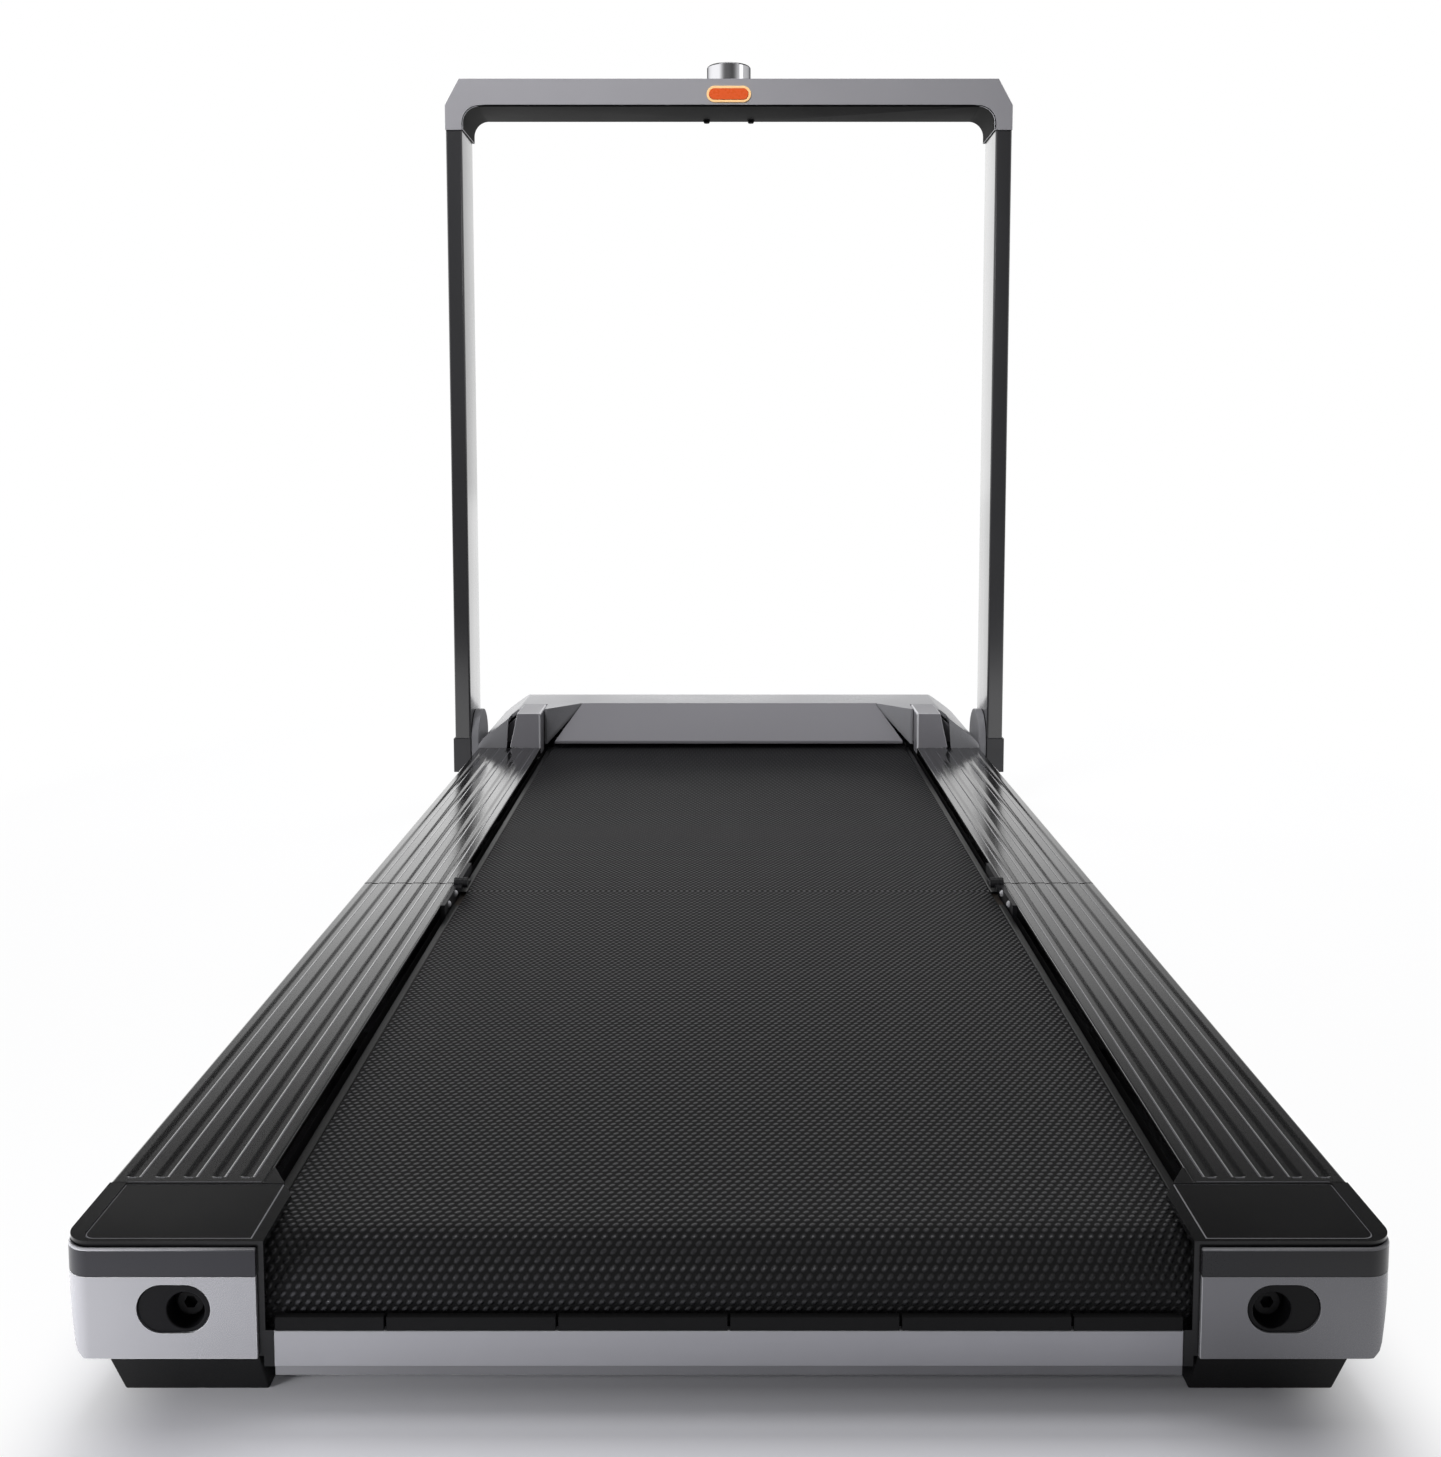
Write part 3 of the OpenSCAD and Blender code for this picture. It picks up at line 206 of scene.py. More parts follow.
# Studio lamps: two banks overhead, one each for the console and the left cap, one behind the camera and
# one at the right. All are white.
def softbox(name, place, aim, size, power, spread=180.0, mirrored=True):
    """A rectangular studio lamp, turned to face the point that it lights. size is in metres and power in
    watts, and spread is the angle of its cone in degrees. Glossy surfaces don't show it unless mirrored."""
    lamp = bpy.data.lights.new(name, "AREA")
    lamp.shape = "RECTANGLE"
    lamp.size, lamp.size_y = size
    lamp.energy = power
    lamp.spread = math.radians(spread)
    holder = bpy.data.objects.new(name, lamp)
    holder.location = place
    holder.rotation_mode = "QUATERNION"
    holder.rotation_quaternion = (Vector(aim) - Vector(place)).to_track_quat("-Z", "Y")
    holder.visible_glossy = mirrored
    holder.visible_camera = False
    bpy.context.scene.collection.objects.link(holder)


softbox("bank_ahead", (0.0, 1.7, 2.9), (0, -0.1, 0), (2.8, 1.1), 62, mirrored=False)
softbox("bank_above", (0.0, 0.35, 3.0), (0, 0.0, 0), (2.6, 0.8), 18)
softbox("console_light", (-1.0, -1.2, 1.9), (-0.1, 0.5, 0.95), (0.9, 0.9), 10, spread=70, mirrored=False)
softbox("low_left", (-0.9, -1.05, 0.06), (-0.4, -0.6, 0.05), (0.5, 0.1), 1.8, spread=55, mirrored=False)
softbox("kicker", (0.0, -2.2, 1.1), (0.0, -0.7, 0.06), (0.8, 0.3), 3.0)
softbox("side_right", (3.0, -0.6, 1.2), (0, 0, 0.3), (1.2, 1.6), 6)


# Frame steel: channels, cross members, the motor tray and the cradle, welded from pressed sheet and
# powder coated. The coat gives a faint orange peel and a soft sheen, and hides under the covers.
def coated(name, colour, roughness, grain=0.9, relief=0.02, tone=0.05, metallic=0.0, stretch=(1, 1, 1),
           sheen=0.05, specular=0.5, lacquer=0.0):
    """Finish of a hard surface. grain is the pattern's size and relief its depth, in mm. A second, broad
    pattern varies the tone by the share tone and the roughness by sheen, as handling and moulding do.
    lacquer is a clear coat's weight."""
    made, tree = new_material(name)
    place = add(tree, "ShaderNodeTexCoord").outputs["Object"]
    laid = add(tree, "ShaderNodeMapping", {"Vector": place, "Scale": stretch}).outputs[0]
    fine = add(tree, "ShaderNodeTexNoise", {"Vector": laid, "Scale": 1.0 / (grain * MM),
                                            "Detail": 3.0}).outputs["Fac"]
    broad = add(tree, "ShaderNodeTexNoise", {"Vector": place, "Scale": 9.0, "Detail": 4.0}).outputs["Fac"]
    shade = add(tree, "ShaderNodeMapRange", {"Value": broad, "From Min": 0.3, "From Max": 0.7,
                                             "To Min": 1.0 - tone, "To Max": 1.0 + tone}).outputs[0]
    tint = add(tree, "ShaderNodeVectorMath", {0: linear(colour)[:3], "Scale": shade},
               operation="SCALE").outputs[0]
    mixed = add(tree, "ShaderNodeMath", {0: fine, 1: broad}, operation="MULTIPLY").outputs[0]
    gloss = add(tree, "ShaderNodeMapRange", {"Value": mixed, "From Min": 0.1, "From Max": 0.4,
                                             "To Min": roughness - sheen,
                                             "To Max": roughness + sheen}).outputs[0]
    bump = add(tree, "ShaderNodeBump", {"Height": fine, "Distance": relief * MM,
                                        "Strength": 1.0}).outputs[0]
    shader = add(tree, "ShaderNodeBsdfPrincipled", {"Base Color": tint, "Roughness": gloss,
                                                    "Metallic": metallic, "Specular IOR Level": specular,
                                                    "Coat Weight": lacquer, "Coat Roughness": 0.16,
                                                    "Normal": bump}).outputs[0]
    add(tree, "ShaderNodeOutputMaterial", {"Surface": shader})
    return made


def dress(material, *names):
    """Gives CAD nodes a finish."""
    for name in names:
        mesh = frame["nodes"][name].data
        mesh.materials.clear()
        mesh.materials.append(material)


powder_coat = coated("powder_coated_steel", "1A1A1B", 0.55, grain=1.2, relief=0.03)
dress(powder_coat, "rear_frame", "front_frame", "motor_cradle")


# Bottom pans: sheet steel, zinc plated, which shows a faint spangle. They are folded and screwed on.
zinc = coated("zinc_plated_sheet", "8C8C90", 0.42, grain=2.4, relief=0.01, metallic=0.6, tone=0.08)
dress(zinc, "rear_bottom_pan", "front_bottom_pan")


# Side beams and the rear cross beam: extruded aluminium, bead blasted and clear anodised.
# The die leaves faint lines along each length. Saw cuts and edges are lightly broken.
anodised = coated("anodised_aluminium", "9B9BA0", 0.36, grain=1.4, relief=0.008, metallic=0.75,
                  stretch=(1, 0.02, 1), tone=0.03)
anodised_across = coated("anodised_aluminium_across", "B4B4B9", 0.34, grain=1.4, relief=0.008, metallic=0.7,
                         stretch=(0.02, 1, 1), tone=0.03)


def merged_copy(node, name, material, edge=0.8, segments=2, angle=32.0, rim=None, share=None, paler=None):
    """A copy of a CAD node with its doubles merged and its flat faces joined. A bevel breaks its edges
    of more than angle degrees: edge is its width in mm, or the share of it that share gives for the
    edge's middle in mm. rim is a paler material painted on the bevels, and on the faces that paler picks
    by their centre in mm and their normal, as a painted highlight."""
    source = frame["nodes"][node]
    work = bmesh.new()
    work.from_mesh(source.data)
    bmesh.ops.remove_doubles(work, verts=work.verts, dist=2e-6)
    bmesh.ops.dissolve_limit(work, angle_limit=math.radians(0.6), verts=work.verts, edges=work.edges)
    weight = work.edges.layers.float.new("bevel_weight_edge")
    for face in work.faces:
        face.smooth = True
        face.material_index = int(bool(paler) and paler(face.calc_center_median() / MM, face.normal))
    for line in work.edges:
        sharp = len(line.link_faces) == 2 and line.calc_face_angle(0.0) >= math.radians(angle)
        line.smooth = not sharp and len(line.link_faces) == 2
        if sharp and share:
            line[weight] = share(*((line.verts[0].co + line.verts[1].co) / (2 * MM)))
    mesh = bpy.data.meshes.new(name)
    work.to_mesh(mesh)
    work.free()
    made = bpy.data.objects.new(name, mesh)
    bpy.context.scene.collection.objects.link(made)
    mesh.materials.clear()
    mesh.materials.append(material)
    bevel = made.modifiers.new("broken_edges", "BEVEL")
    bevel.width = edge * MM
    bevel.segments = segments
    bevel.limit_method = "WEIGHT" if share else "ANGLE"
    bevel.angle_limit = math.radians(angle)
    bevel.harden_normals = True
    if rim:
        mesh.materials.append(rim)
        bevel.material = 1
    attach(made, source["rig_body"])
    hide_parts(node)


merged_copy("rear_side_beams", "rear_side_beam_pair", anodised, edge=0.6)
merged_copy("front_side_beams", "front_side_beam_pair", anodised, edge=0.6)
merged_copy("rear_cross_beam", "rear_cross_beam_bar", anodised_across, edge=0.7)


# Side rail covers: black ABS, moulded in a spark-eroded tool and lacquered, with five shallow flutes.
# Each flute's inner arris and the short one at its rear end, and the rear cover's rear edge, are painted
# paler than the rest as a painted highlight. The covers clip over the side beams and meet at the fold.
def grid_object(name, points, wrap_u=False, wrap_v=False, flip=False):
    """A mesh from a grid of points: point (i, j) is joined to (i+1, j) and (i, j+1), and a wrapped
    direction also joins its last row to its first."""
    rows, columns = points.shape[:2]
    index = np.arange(rows * columns).reshape(rows, columns)
    if wrap_u:
        index = np.concatenate([index, index[:1]], 0)
    if wrap_v:
        index = np.concatenate([index, index[:, :1]], 1)
    quads = np.stack([index[:-1, :-1], index[1:, :-1], index[1:, 1:], index[:-1, 1:]], -1).reshape(-1, 4)
    if flip:
        quads = quads[:, ::-1]
    mesh = bpy.data.meshes.new(name)
    mesh.from_pydata(points.reshape(-1, 3).tolist(), [], quads.tolist())
    mesh.shade_smooth()
    made = bpy.data.objects.new(name, mesh)
    bpy.context.scene.collection.objects.link(made)
    return made


def smooth_step(value):
    """0 below 0, 1 above 1 and 3t^2 - 2t^3 between them."""
    t = np.clip(value, 0.0, 1.0)
    return t * t * (3.0 - 2.0 * t)


rail_top, rail_in, rail_out, skirt = 82.0, 250.0, 333.0, 65.0
outer_corner, inner_corner = 1.6, 1.0
flute_edges = 257.6 + 15.4 * np.arange(5)
flute_width, flute_depth = 7.8, 0.6
arris, outer_slope = 0.7, 4.0


def rail_section():
    """The cover's outline from its outer skirt's hem over the top to the inner hem, as x and z in mm:
    two straight hems, a quarter circle at each corner and a flat top."""
    turn = np.linspace(0.0, np.pi / 2, 7)
    outer = np.stack([rail_out - outer_corner + outer_corner * np.cos(turn),
                      rail_top - outer_corner + outer_corner * np.sin(turn)], 1)
    inner = np.stack([rail_in + inner_corner - inner_corner * np.sin(turn),
                      rail_top - inner_corner + inner_corner * np.cos(turn)], 1)
    flat = np.arange(rail_out - outer_corner - 0.4, rail_in + inner_corner + 0.4, -0.4)
    across = np.stack([flat, np.full_like(flat, rail_top)], 1)
    return np.concatenate([[[rail_out, skirt + 0.2]], outer, across, inner, [[rail_in, 72.3]]])


def rail_cover(name, body, node, y_low, y_high, flute_low):
    """Carries the outline along Y and lowers its top inside each flute. The depth is the product of
    three soft steps: an arris' width at the inner edge and at the rear end, and the outer slope's."""
    section = rail_section()
    has_flute_ends = flute_low > y_low
    rows = [y_low + np.array([0.0, 0.4, 0.8]),
            y_high - np.array([0.6, 0.0]),
            np.linspace(y_low + 12.0, y_high - 1.5, 12)]
    if has_flute_ends:
        rows.append(flute_low + np.arange(-1.6, 2.5, 0.2))
    along = np.unique(np.round(np.concatenate(rows), 3))
    x, y = np.meshgrid(section[:, 0], along, indexing="ij")
    z = np.repeat(section[:, 1:], len(along), 1)
    on_top = (x < rail_out - outer_corner - 0.1) & (x > rail_in + inner_corner + 0.1)
    end_step = smooth_step((y - flute_low) / arris)
    sunk = np.zeros_like(z)
    # These faces are painted paler than the cover, as a painted highlight on the arrises.
    highlight_mask = np.zeros(z.shape, bool)
    for edge in flute_edges:
        outward = smooth_step((edge + flute_width - x) / outer_slope)
        sunk += smooth_step((x - edge) / arris) * outward * end_step
        highlight_mask |= (x > edge - 1.0) & (x < edge + 0.5) & (y > flute_low - 0.3)
        highlight_mask |= (x > edge + 1.6) & (x < edge + 6.6) & (np.abs(y - flute_low + 0.6) < 0.95)
    z = z - flute_depth * sunk * on_top
    if has_flute_ends:
        highlight_mask |= (x < rail_out - 9.0) & (y < y_low + 0.9)
    highlight_mask &= on_top
    pale = highlight_mask[:-1, :-1] & highlight_mask[1:, :-1] & highlight_mask[1:, 1:] & highlight_mask[:-1, 1:]
    for side in (1, -1):
        points = np.stack([side * x, y, z], -1) * MM
        part = grid_object(f"{name}_{'right' if side > 0 else 'left'}", points, flip=side > 0)
        wall = part.modifiers.new("wall", "SOLIDIFY")
        wall.thickness = 2.4 * MM
        wall.offset = -1.0
        part.data.materials.append(rail_abs)
        part.data.materials.append(arris_highlight_abs)
        part.data.polygons.foreach_set("material_index", pale.astype(np.int32).reshape(-1))
        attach(part, body)
        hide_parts(node)


rail_abs = coated("spark_eroded_abs", "0A0A0B", 0.2, grain=0.7, relief=0.003, tone=0.04, lacquer=0.9)
# The arrises' paler ABS is a painted highlight.
arris_highlight_abs = coated("abs_arris_painted_highlight", "4C4C50", 0.24, grain=0.7, relief=0.01, tone=0.08)
fold_y, half_gap = -113.0, 1.1
cap_end, hood_end = -653.1, 490.7
rail_cover("rear_rail_cover", "rear_deck", "rear_rail_covers", cap_end, fold_y - half_gap, cap_end + 5.5)
rail_cover("front_rail_cover", "front_deck", "front_rail_covers", fold_y + half_gap, hood_end, -200.0)


# Walking belt: a PVC loop with a relief of staggered slanting studs. One loop runs over both rollers,
# with its rows closer together near the fold. The studs are a little paler and shinier than the black
# ground between them.
belt_half, belt_thick, belt_outer = 239.0, 2.0, 27.0
idler_y, drive_y, roll_z = -679.0, 566.0, 47.0
bend_reach = 14.0
stud_across, stud_along, stud_height = 5.1, 4.0, 0.9


def belt_path():
    """The loop's outer face as y, z, and its outward direction, from the fold forward along the top,
    round the drive roller, back underneath, round the idler and forward to the fold."""
    bend = np.linspace(-bend_reach, bend_reach, 29)
    top_front = np.concatenate([fold_y + bend[15:], np.linspace(fold_y + 20, drive_y, 34)])
    low = np.concatenate([np.linspace(drive_y, fold_y + 20, 34), fold_y - bend,
                          np.linspace(fold_y - 20, idler_y, 30)])
    top_rear = np.concatenate([np.linspace(idler_y, fold_y - 20, 30), fold_y + bend[:15]])
    turn = np.linspace(0.0, np.pi, 29)[1:-1]
    y = np.concatenate([top_front, drive_y + belt_outer * np.sin(turn), low,
                        idler_y - belt_outer * np.sin(turn), top_rear])
    ny = np.concatenate([0 * top_front, np.sin(turn), 0 * low, -np.sin(turn), 0 * top_rear])
    nz = np.concatenate([0 * top_front + 1, np.cos(turn), 0 * low - 1, -np.cos(turn), 0 * top_rear + 1])
    z = roll_z + belt_outer * nz
    return y, z, ny, nz


path_y, path_z, out_y, out_z = belt_path()
steps = np.hypot(np.diff(path_y), np.diff(path_z))
run = np.concatenate([[0.0], np.cumsum(steps)])
edge_turn = np.linspace(0.0, np.pi, 7)
edge_x = belt_half - 1.0 + np.sin(edge_turn)
edge_in = 1.0 - np.cos(edge_turn)
inside_x = np.linspace(belt_half - 1.0, 1.0 - belt_half, 13)[1:-1]
across_x = np.concatenate([edge_x, inside_x, -edge_x[::-1], -inside_x])
across_in = np.concatenate([edge_in, 0 * inside_x + belt_thick, edge_in[::-1], 0 * inside_x])
grid_y = path_y[:, None] - out_y[:, None] * across_in[None]
grid_z = path_z[:, None] - out_z[:, None] * across_in[None]
grid_x = np.broadcast_to(across_x[None], grid_y.shape)
walking_belt = grid_object("walking_belt", np.stack([grid_x, grid_y, grid_z], -1) * MM,
                           wrap_u=True, wrap_v=True, flip=True)
loops = np.empty(len(walking_belt.data.loops), dtype=np.int32)
walking_belt.data.loops.foreach_get("vertex_index", loops)
spread = np.repeat(run, len(across_x))[loops].reshape(-1, 4)
wrapped = (spread.max(1) - spread.min(1) > run[-1] / 2)[:, None] & (spread < run[-1] / 2)
spread = spread + wrapped * (run[-1] + 1.0)
uv = np.stack([np.tile(across_x, len(run))[loops], spread.reshape(-1)], 1) * MM
walking_belt.data.uv_layers.new(name="run").data.foreach_set("uv", uv.reshape(-1))

studded_pvc, tree = new_material("studded_pvc_belt")
place = add(tree, "ShaderNodeUVMap", uv_map="run").outputs[0]
axes = add(tree, "ShaderNodeSeparateXYZ", {0: place}).outputs
row = add(tree, "ShaderNodeMath", {0: axes["Y"], 1: 1.0 / (stud_along * MM)},
          operation="MULTIPLY").outputs[0]
whole = add(tree, "ShaderNodeMath", {0: row}, operation="FLOOR").outputs[0]
odd = add(tree, "ShaderNodeMath", {0: whole, 1: 2.0}, operation="MODULO").outputs[0]
column = add(tree, "ShaderNodeMath", {0: axes["X"], 1: 1.0 / (stud_across * MM)},
             operation="MULTIPLY").outputs[0]
moved = add(tree, "ShaderNodeMath", {0: odd, 1: 0.5, 2: column}, operation="MULTIPLY_ADD").outputs[0]
cell_x = add(tree, "ShaderNodeMath", {0: moved}, operation="FRACT").outputs[0]
cell_y = add(tree, "ShaderNodeMath", {0: row}, operation="FRACT").outputs[0]
off_x = add(tree, "ShaderNodeMath", {0: cell_x, 1: 0.5}, operation="SUBTRACT").outputs[0]
off_y = add(tree, "ShaderNodeMath", {0: cell_y, 1: 0.5}, operation="SUBTRACT").outputs[0]
oval = add(tree, "ShaderNodeCombineXYZ", {"X": off_x, "Y": off_y}).outputs[0]
slanted = add(tree, "ShaderNodeVectorRotate", {"Vector": oval, "Angle": math.radians(28.0)},
              rotation_type="Z_AXIS").outputs[0]
sized = add(tree, "ShaderNodeVectorMath", {0: slanted, 1: (3.1, 2.0, 1.0)}, operation="MULTIPLY").outputs[0]
from_middle = add(tree, "ShaderNodeVectorMath", {0: sized}, operation="LENGTH").outputs["Value"]
stud = add(tree, "ShaderNodeMapRange", {"Value": from_middle, "From Min": 1.15, "From Max": 0.35},
           interpolation_type="SMOOTHSTEP").outputs[0]
stud_tone = add(tree, "ShaderNodeMix", {"Factor": stud, 6: linear("070708"), 7: linear("303033")},
                data_type="RGBA").outputs[2]
stud_gloss = add(tree, "ShaderNodeMapRange", {"Value": stud, "To Min": 0.8, "To Max": 0.3}).outputs[0]
relief = add(tree, "ShaderNodeBump", {"Height": stud, "Distance": stud_height * MM,
                                      "Strength": 1.0}).outputs[0]
skin = add(tree, "ShaderNodeBsdfPrincipled", {"Base Color": stud_tone, "Roughness": stud_gloss,
                                              "Specular IOR Level": 0.5, "Normal": relief}).outputs[0]
add(tree, "ShaderNodeOutputMaterial", {"Surface": skin})
walking_belt.data.materials.append(studded_pvc)
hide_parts("rear_walking_belt", "front_walking_belt")
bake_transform(walking_belt)


# Running boards, cushions and guide strips: fibreboard with a dark phenolic face, black rubber buffers
# and strips of satin moulded nylon that keep the belt central. Boards and strips are screwed down.
fibreboard = coated("phenolic_faced_board", "2B2521", 0.5, grain=1.8, relief=0.03, tone=0.12,
                    stretch=(1, 0.3, 1))
rubber = coated("black_rubber", "0B0B0C", 0.62, grain=0.8, relief=0.04, specular=0.3)
guide_nylon = coated("satin_black_nylon", "0C0C0D", 0.36, grain=1.0, relief=0.006, specular=0.5)
dress(fibreboard, "rear_running_board", "front_running_board")
dress(rubber, "rear_cushions", "front_cushions", "front_feet", "rear_guard_strip")
merged_copy("rear_belt_guides", "rear_guide_strips", guide_nylon, edge=1.0)
merged_copy("front_belt_guides", "front_guide_strips", guide_nylon, edge=1.0)


# Rear caps: black ABS shells with an inlaid plate on top, a dark grey band round the edge and a
# silver painted face, which clip together. A black insert surrounds the bore over each tension bolt.
# Where the edges catch the light they look paler, so the bevels and the band's up-facing ledge are
# painted paler, as painted highlights.
cap_black = coated("textured_black_abs", "0E0E0F", 0.2, grain=0.6, relief=0.003)
plate_black = coated("textured_black_abs_plate", "0A0A0B", 0.2, grain=0.6, relief=0.003)
band_grey = coated("satin_grey_abs", "27272B", 0.3, grain=0.6, relief=0.008)
band_ledge_highlight = coated("satin_grey_abs_ledge_highlight", "8C8C90", 0.26, grain=0.6, relief=0.006)
silver_paint = coated("silver_metallic_paint", "96969B", 0.24, grain=0.4, relief=0.006, metallic=0.25,
                      tone=0.02)
silver_rim_highlight = coated("silver_metallic_paint_rim_highlight", "CACACE", 0.24, grain=0.4, relief=0.006, metallic=0.25,
                    tone=0.02)
insert_black = coated("satin_black_insert", "0B0B0D", 0.5, grain=0.8, relief=0.01, specular=0.25)
plate_rim_highlight = coated("textured_black_abs_rim_highlight", "88888C", 0.3, grain=0.6, relief=0.006)


def cap_edges(x, y, z):
    """All of the width at the outer and the slanting edges of the cap's top, and a quarter elsewhere."""
    rearmost = y < -700
    outermost = abs(x) > 320
    slanting = y > -670 and abs(x) < 252
    return 1.0 if z > rail_top - 0.5 and (rearmost or outermost or slanting) else 0.25


merged_copy("rear_caps", "rear_cap_shells", cap_black, edge=1.6, segments=3, share=cap_edges)
merged_copy("cap_top_plates", "rear_cap_plates", plate_black, edge=0.9, rim=plate_rim_highlight)
merged_copy("cap_bands", "rear_cap_bands", band_grey, edge=1.2, rim=band_ledge_highlight,
            share=lambda x, y, z: float(z > 79), paler=lambda centre, normal: normal.z > 0.5)
merged_copy("cap_faces", "rear_cap_faces", silver_paint, edge=1.3, rim=silver_rim_highlight,
            share=lambda x, y, z: 1.0 if abs(x) < 240 else 0.3)
merged_copy("bolt_port_inserts", "bolt_port_frames", insert_black, edge=0.8)
merged_copy("rear_feet", "rear_foot_blocks", rubber, edge=1.0)


# Hood over the motor: ABS painted a grey metallic, with a sloping panel and two end blocks, over a
# bumper of textured ABS. The blocks' inner edges are broken wide and painted paler as a painted highlight.
hood_paint = coated("grey_metallic_paint", "8C8C90", 0.3, grain=0.4, relief=0.006, metallic=0.3, tone=0.02)
ramp_paint = coated("grey_metallic_paint_ramp", "7A797E", 0.36, grain=0.4, relief=0.006, metallic=0.3,
                    tone=0.02)
block_paint = coated("satin_grey_block", "78777C", 0.34, grain=0.5, relief=0.01)
block_edge_highlight = coated("satin_grey_block_edge_highlight", "B6B6BA", 0.3, grain=0.5, relief=0.006)
fascia_abs = coated("textured_abs_fascia", "1E1E20", 0.45, grain=0.7, relief=0.04)
merged_copy("hood_cover", "motor_hood", hood_paint, edge=1.4, segments=3)
merged_copy("hood_ramp", "hood_ramp_panel", ramp_paint, edge=0.8)
merged_copy("hood_end_blocks", "rail_end_blocks", block_paint, edge=2.4, segments=3, rim=block_edge_highlight,
            share=lambda x, y, z: 1.0 if abs(x) < 256 else 0.3)
merged_copy("front_fascia", "front_bumper", fascia_abs, edge=0.8)


# Fold hinges, rollers, axles and bolts: steel parts. The hinge leaves are pressed and enamelled dark, the
# pins, rollers and axles are turned and left bright, and the tension bolts are blacked, and made
# near-black and dull as painted shade in their bores.
hinge_coat = coated("dark_enamelled_steel", "1C1C1E", 0.45, grain=1.0, relief=0.02)
bright_steel = coated("turned_bright_steel", "B8B8BC", 0.28, grain=0.8, relief=0.006, metallic=1.0)
# Near-black and dull, as painted shade in the bores.
black_oxide_and_bore_shade = coated("black_oxide_steel_and_bore_shade", "070708", 0.45, grain=0.8, relief=0.01, specular=0.25)
dress(hinge_coat, "rear_hinge_leaves", "front_hinge_leaves")
dress(bright_steel, "deck_hinge_pins", "idler_axle", "drive_axle", "idler_roller", "drive_roller",
      "wheel_axles", "motor_rotor")
dress(black_oxide_and_bore_shade, "tension_bolt_left", "tension_bolt_right")


# Rivets: two domed steel heads on the inner face of each rear hinge leaf, dull from tumbling. They are
# the two pale dots beside the belt behind the fold.
def rivet_heads(name, body, places, radius, height):
    """Domed heads on both sides, each at the x, y and z of its foot's middle. Going in from the rim, the
    radius falls as cos t and the height rises as sin t. The foot is open, against the leaf."""
    crown = np.pi / 2 - 0.02
    t, round_it = np.meshgrid(np.linspace(0.0, crown, 6), np.linspace(0.0, 2 * np.pi, 19)[:-1],
                              indexing="ij")
    for side in (1, -1):
        for number, (x, y, z) in enumerate(places):
            points = np.stack([side * (x - height * np.sin(t)), y + radius * np.cos(t) * np.cos(round_it),
                               z + radius * np.cos(t) * np.sin(round_it)], -1) * MM
            head = grid_object(f"{name}_{'right' if side > 0 else 'left'}_{number}", points, wrap_v=True,
                               flip=side < 0)
            head.data.materials.append(rivet_steel)
            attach(head, body)


rivet_steel = coated("dull_steel_rivet", "A8A8AC", 0.4, grain=0.8, relief=0.004)
leaf_face, rivet_z = 246.3, 78.0
rivet_places = [(leaf_face, fold_y - 18.0, rivet_z), (leaf_face, fold_y - 49.0, rivet_z)]
rivet_heads("hinge_rivet", "rear_deck", rivet_places, radius=3.1, height=2.6)


# Handle lugs: round-topped steel plates beside the deck, powder coated grey, each with the pin that the
# handle turns on.
lug_coat = coated("powder_coated_lug", "7A7A7E", 0.36)
merged_copy("handle_hinge_lugs", "handle_lugs", lug_coat, edge=0.8)


# Drive and power: enamelled motor can, cast controller housing, machined pulley, ribbed rubber belt, and
# the moulded inlet and rocker, all under the hood or in the bumper.
motor_enamel = coated("motor_enamel", "45454A", 0.4, grain=1.0, relief=0.02)
cast_alloy = coated("cast_aluminium", "77777B", 0.5, grain=1.2, relief=0.05, metallic=0.8)
dress(motor_enamel, "motor_can")
dress(cast_alloy, "motor_controller", "drive_pulley")
dress(rubber, "ribbed_belt")
dress(insert_black, "power_inlet", "power_rocker")


# Transport wheels: moulded nylon, matt from rolling, on the stub axles at the front corners.
wheel_nylon = coated("black_nylon_wheel", "242426", 0.5, grain=1.0, relief=0.03)
merged_copy("wheel_left", "transport_wheel_left", wheel_nylon, edge=1.5, segments=3)
merged_copy("wheel_right", "transport_wheel_right", wheel_nylon, edge=1.5, segments=3)


# Handle: two hollow steel uprights, powder coated black and lacquered, which gives them a second and
# sharper shine. Moulded shoes cover their feet.
upright_coat = coated("black_powder_coat_lacquered", "2E2E30", 0.16, grain=0.9, relief=0.003, lacquer=0.6)
sleeve_abs = coated("satin_black_abs", "2A2A2D", 0.35, grain=0.7, relief=0.02)
merged_copy("upright_left", "handle_upright_left", upright_coat, edge=0.5)
merged_copy("upright_right", "handle_upright_right", upright_coat, edge=0.5)
merged_copy("upright_sleeves", "handle_shoes", sleeve_abs, edge=0.8)
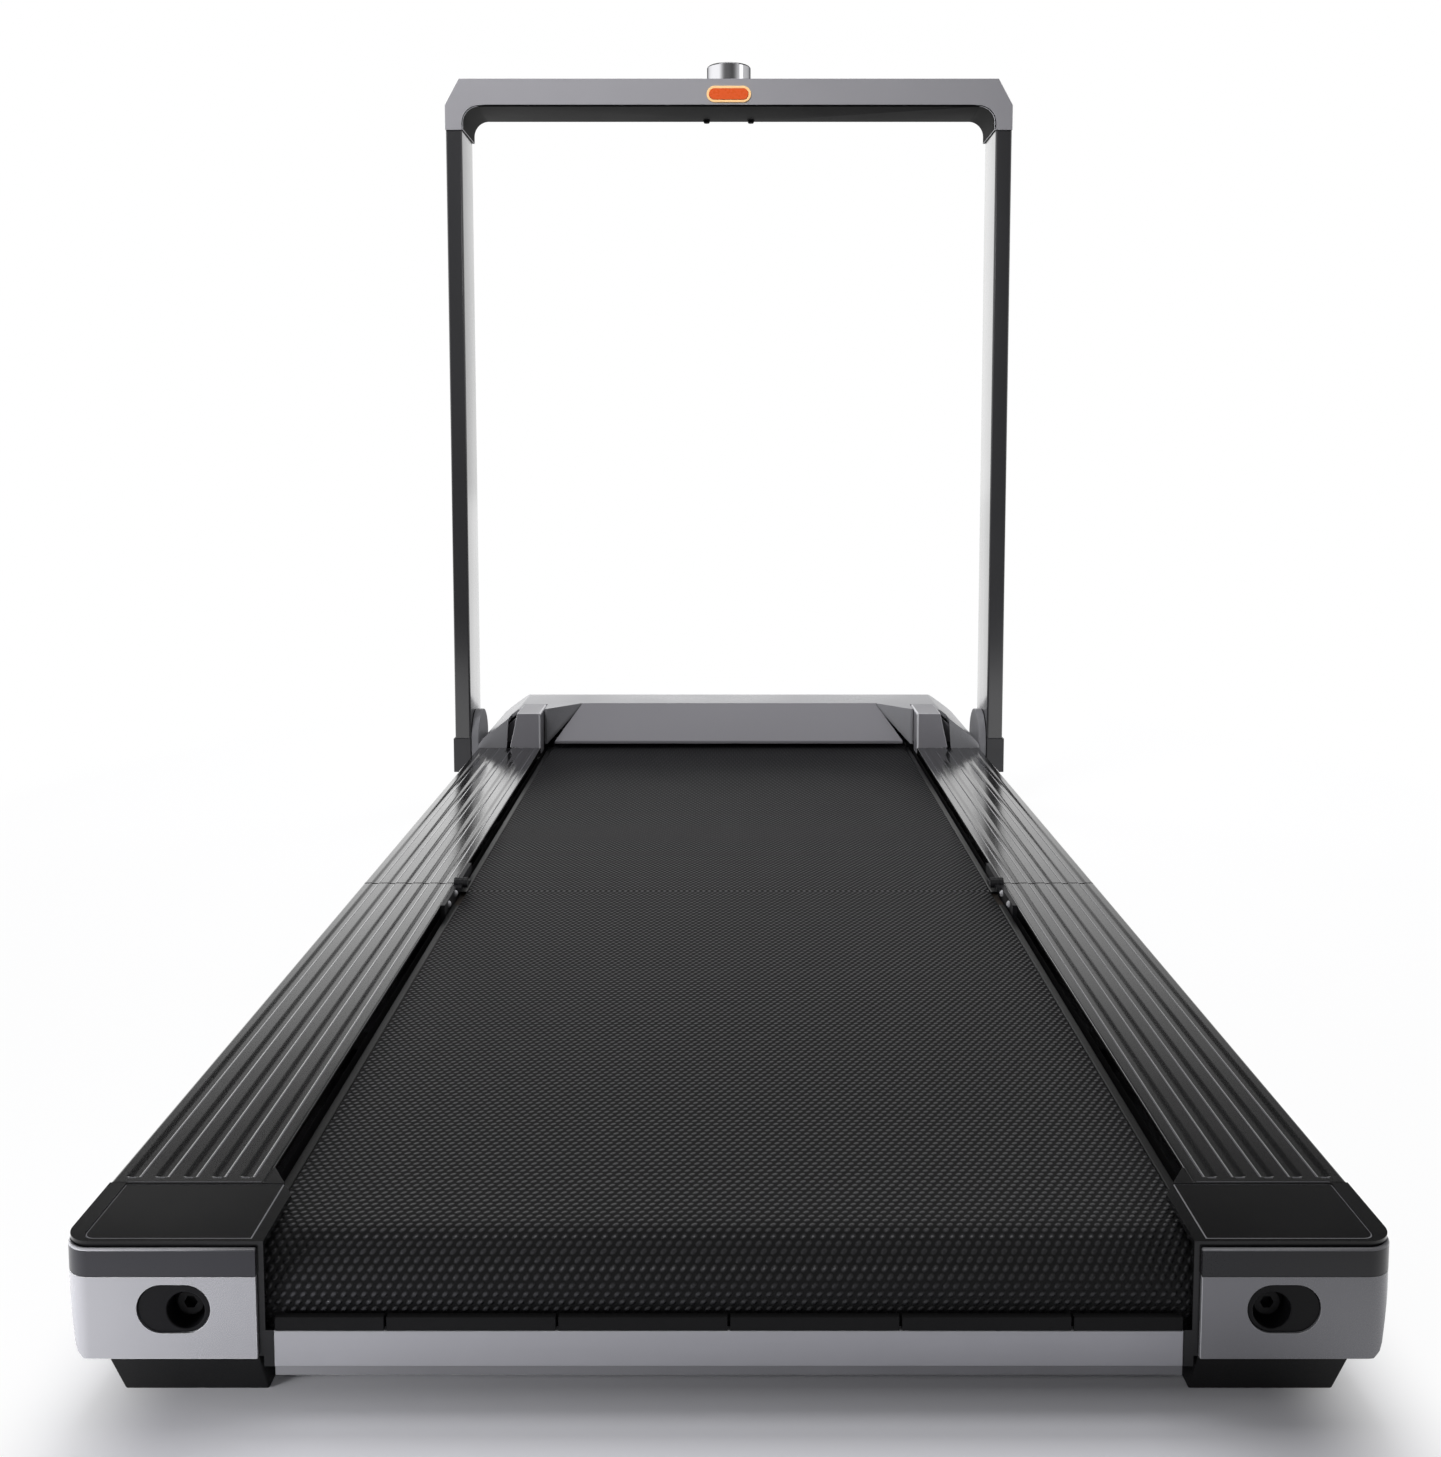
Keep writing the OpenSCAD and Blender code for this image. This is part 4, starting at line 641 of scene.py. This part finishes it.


# Console: moulded cover over the bar and its legs, in a grey paint with a fine flake. The underside is a
# dark textured liner, pressed in from below, made near-black as painted shade under the bar. Its corners
# outside its legs are in grey paint, painted paler than the cover's as a painted highlight.
console_paint = coated("grey_console_paint", "9C9BA0", 0.34, grain=0.4, relief=0.006, metallic=0.25,
                       tone=0.02)
corner_paint_and_highlight = coated("grey_console_paint_corner_and_highlight", "B4B4B9", 0.34, grain=0.4, relief=0.006, tone=0.02)
liner_abs_and_shade = coated("textured_black_liner_and_shade", "0A0A0B", 0.6, grain=0.7, relief=0.03, specular=0.04)
merged_copy("console_shell", "console_cover", console_paint, edge=1.2, segments=3)
merged_copy("console_liner", "console_underside", liner_abs_and_shade, edge=0.6, rim=corner_paint_and_highlight,
            share=lambda x, y, z: float(abs(x) > 262), paler=lambda centre, normal: abs(centre.x) > 262)


# Controls: chromed speed knob, darkened where it is seen at a grazing angle as a painted reflection of its
# dark surroundings, and what lies inside the console: a board with green solder mask and the encoder
# that the knob turns.
chrome = coated("polished_chrome", "D5D5D8", 0.12, grain=1.0, relief=0.002, metallic=1.0, sheen=0.03)
# The dark specular tint darkens the chrome's edges, a painted reflection of the dark console around it.
chrome.node_tree.nodes["Principled BSDF"].inputs["Specular Tint"].default_value = linear("3A3A3C")
solder_mask = coated("green_solder_mask", "12492A", 0.4)
merged_copy("speed_knob", "chrome_speed_knob", chrome, edge=0.8, segments=3)
dress(solder_mask, "control_board")
dress(bright_steel, "encoder")


# Stop button: a key of orange polycarbonate in a cream ring, both with a weak lamp behind them.
def lit_plastic(name, colour, glow, strength):
    """Polycarbonate with a lamp behind it: its own colour, a smooth face and a weak glow."""
    made, tree = new_material(name)
    place = add(tree, "ShaderNodeTexCoord").outputs["Object"]
    haze = add(tree, "ShaderNodeTexNoise", {"Vector": place, "Scale": 260.0, "Detail": 2.0}).outputs["Fac"]
    gloss = add(tree, "ShaderNodeMapRange", {"Value": haze, "To Min": 0.22, "To Max": 0.34}).outputs[0]
    shader = add(tree, "ShaderNodeBsdfPrincipled", {"Base Color": linear(colour), "Roughness": gloss,
                                                    "Emission Color": linear(glow),
                                                    "Emission Strength": strength})
    add(tree, "ShaderNodeOutputMaterial", {"Surface": shader.outputs[0]})
    return made


lit_orange = lit_plastic("lit_orange_polycarbonate", "C8501E", "E0501A", 0.12)
lit_cream = lit_plastic("lit_cream_polycarbonate", "E8C08A", "FFC07A", 0.15)
merged_copy("stop_button", "stop_button_key", lit_orange, edge=0.7)
merged_copy("button_ring", "stop_button_ring", lit_cream, edge=0.4)
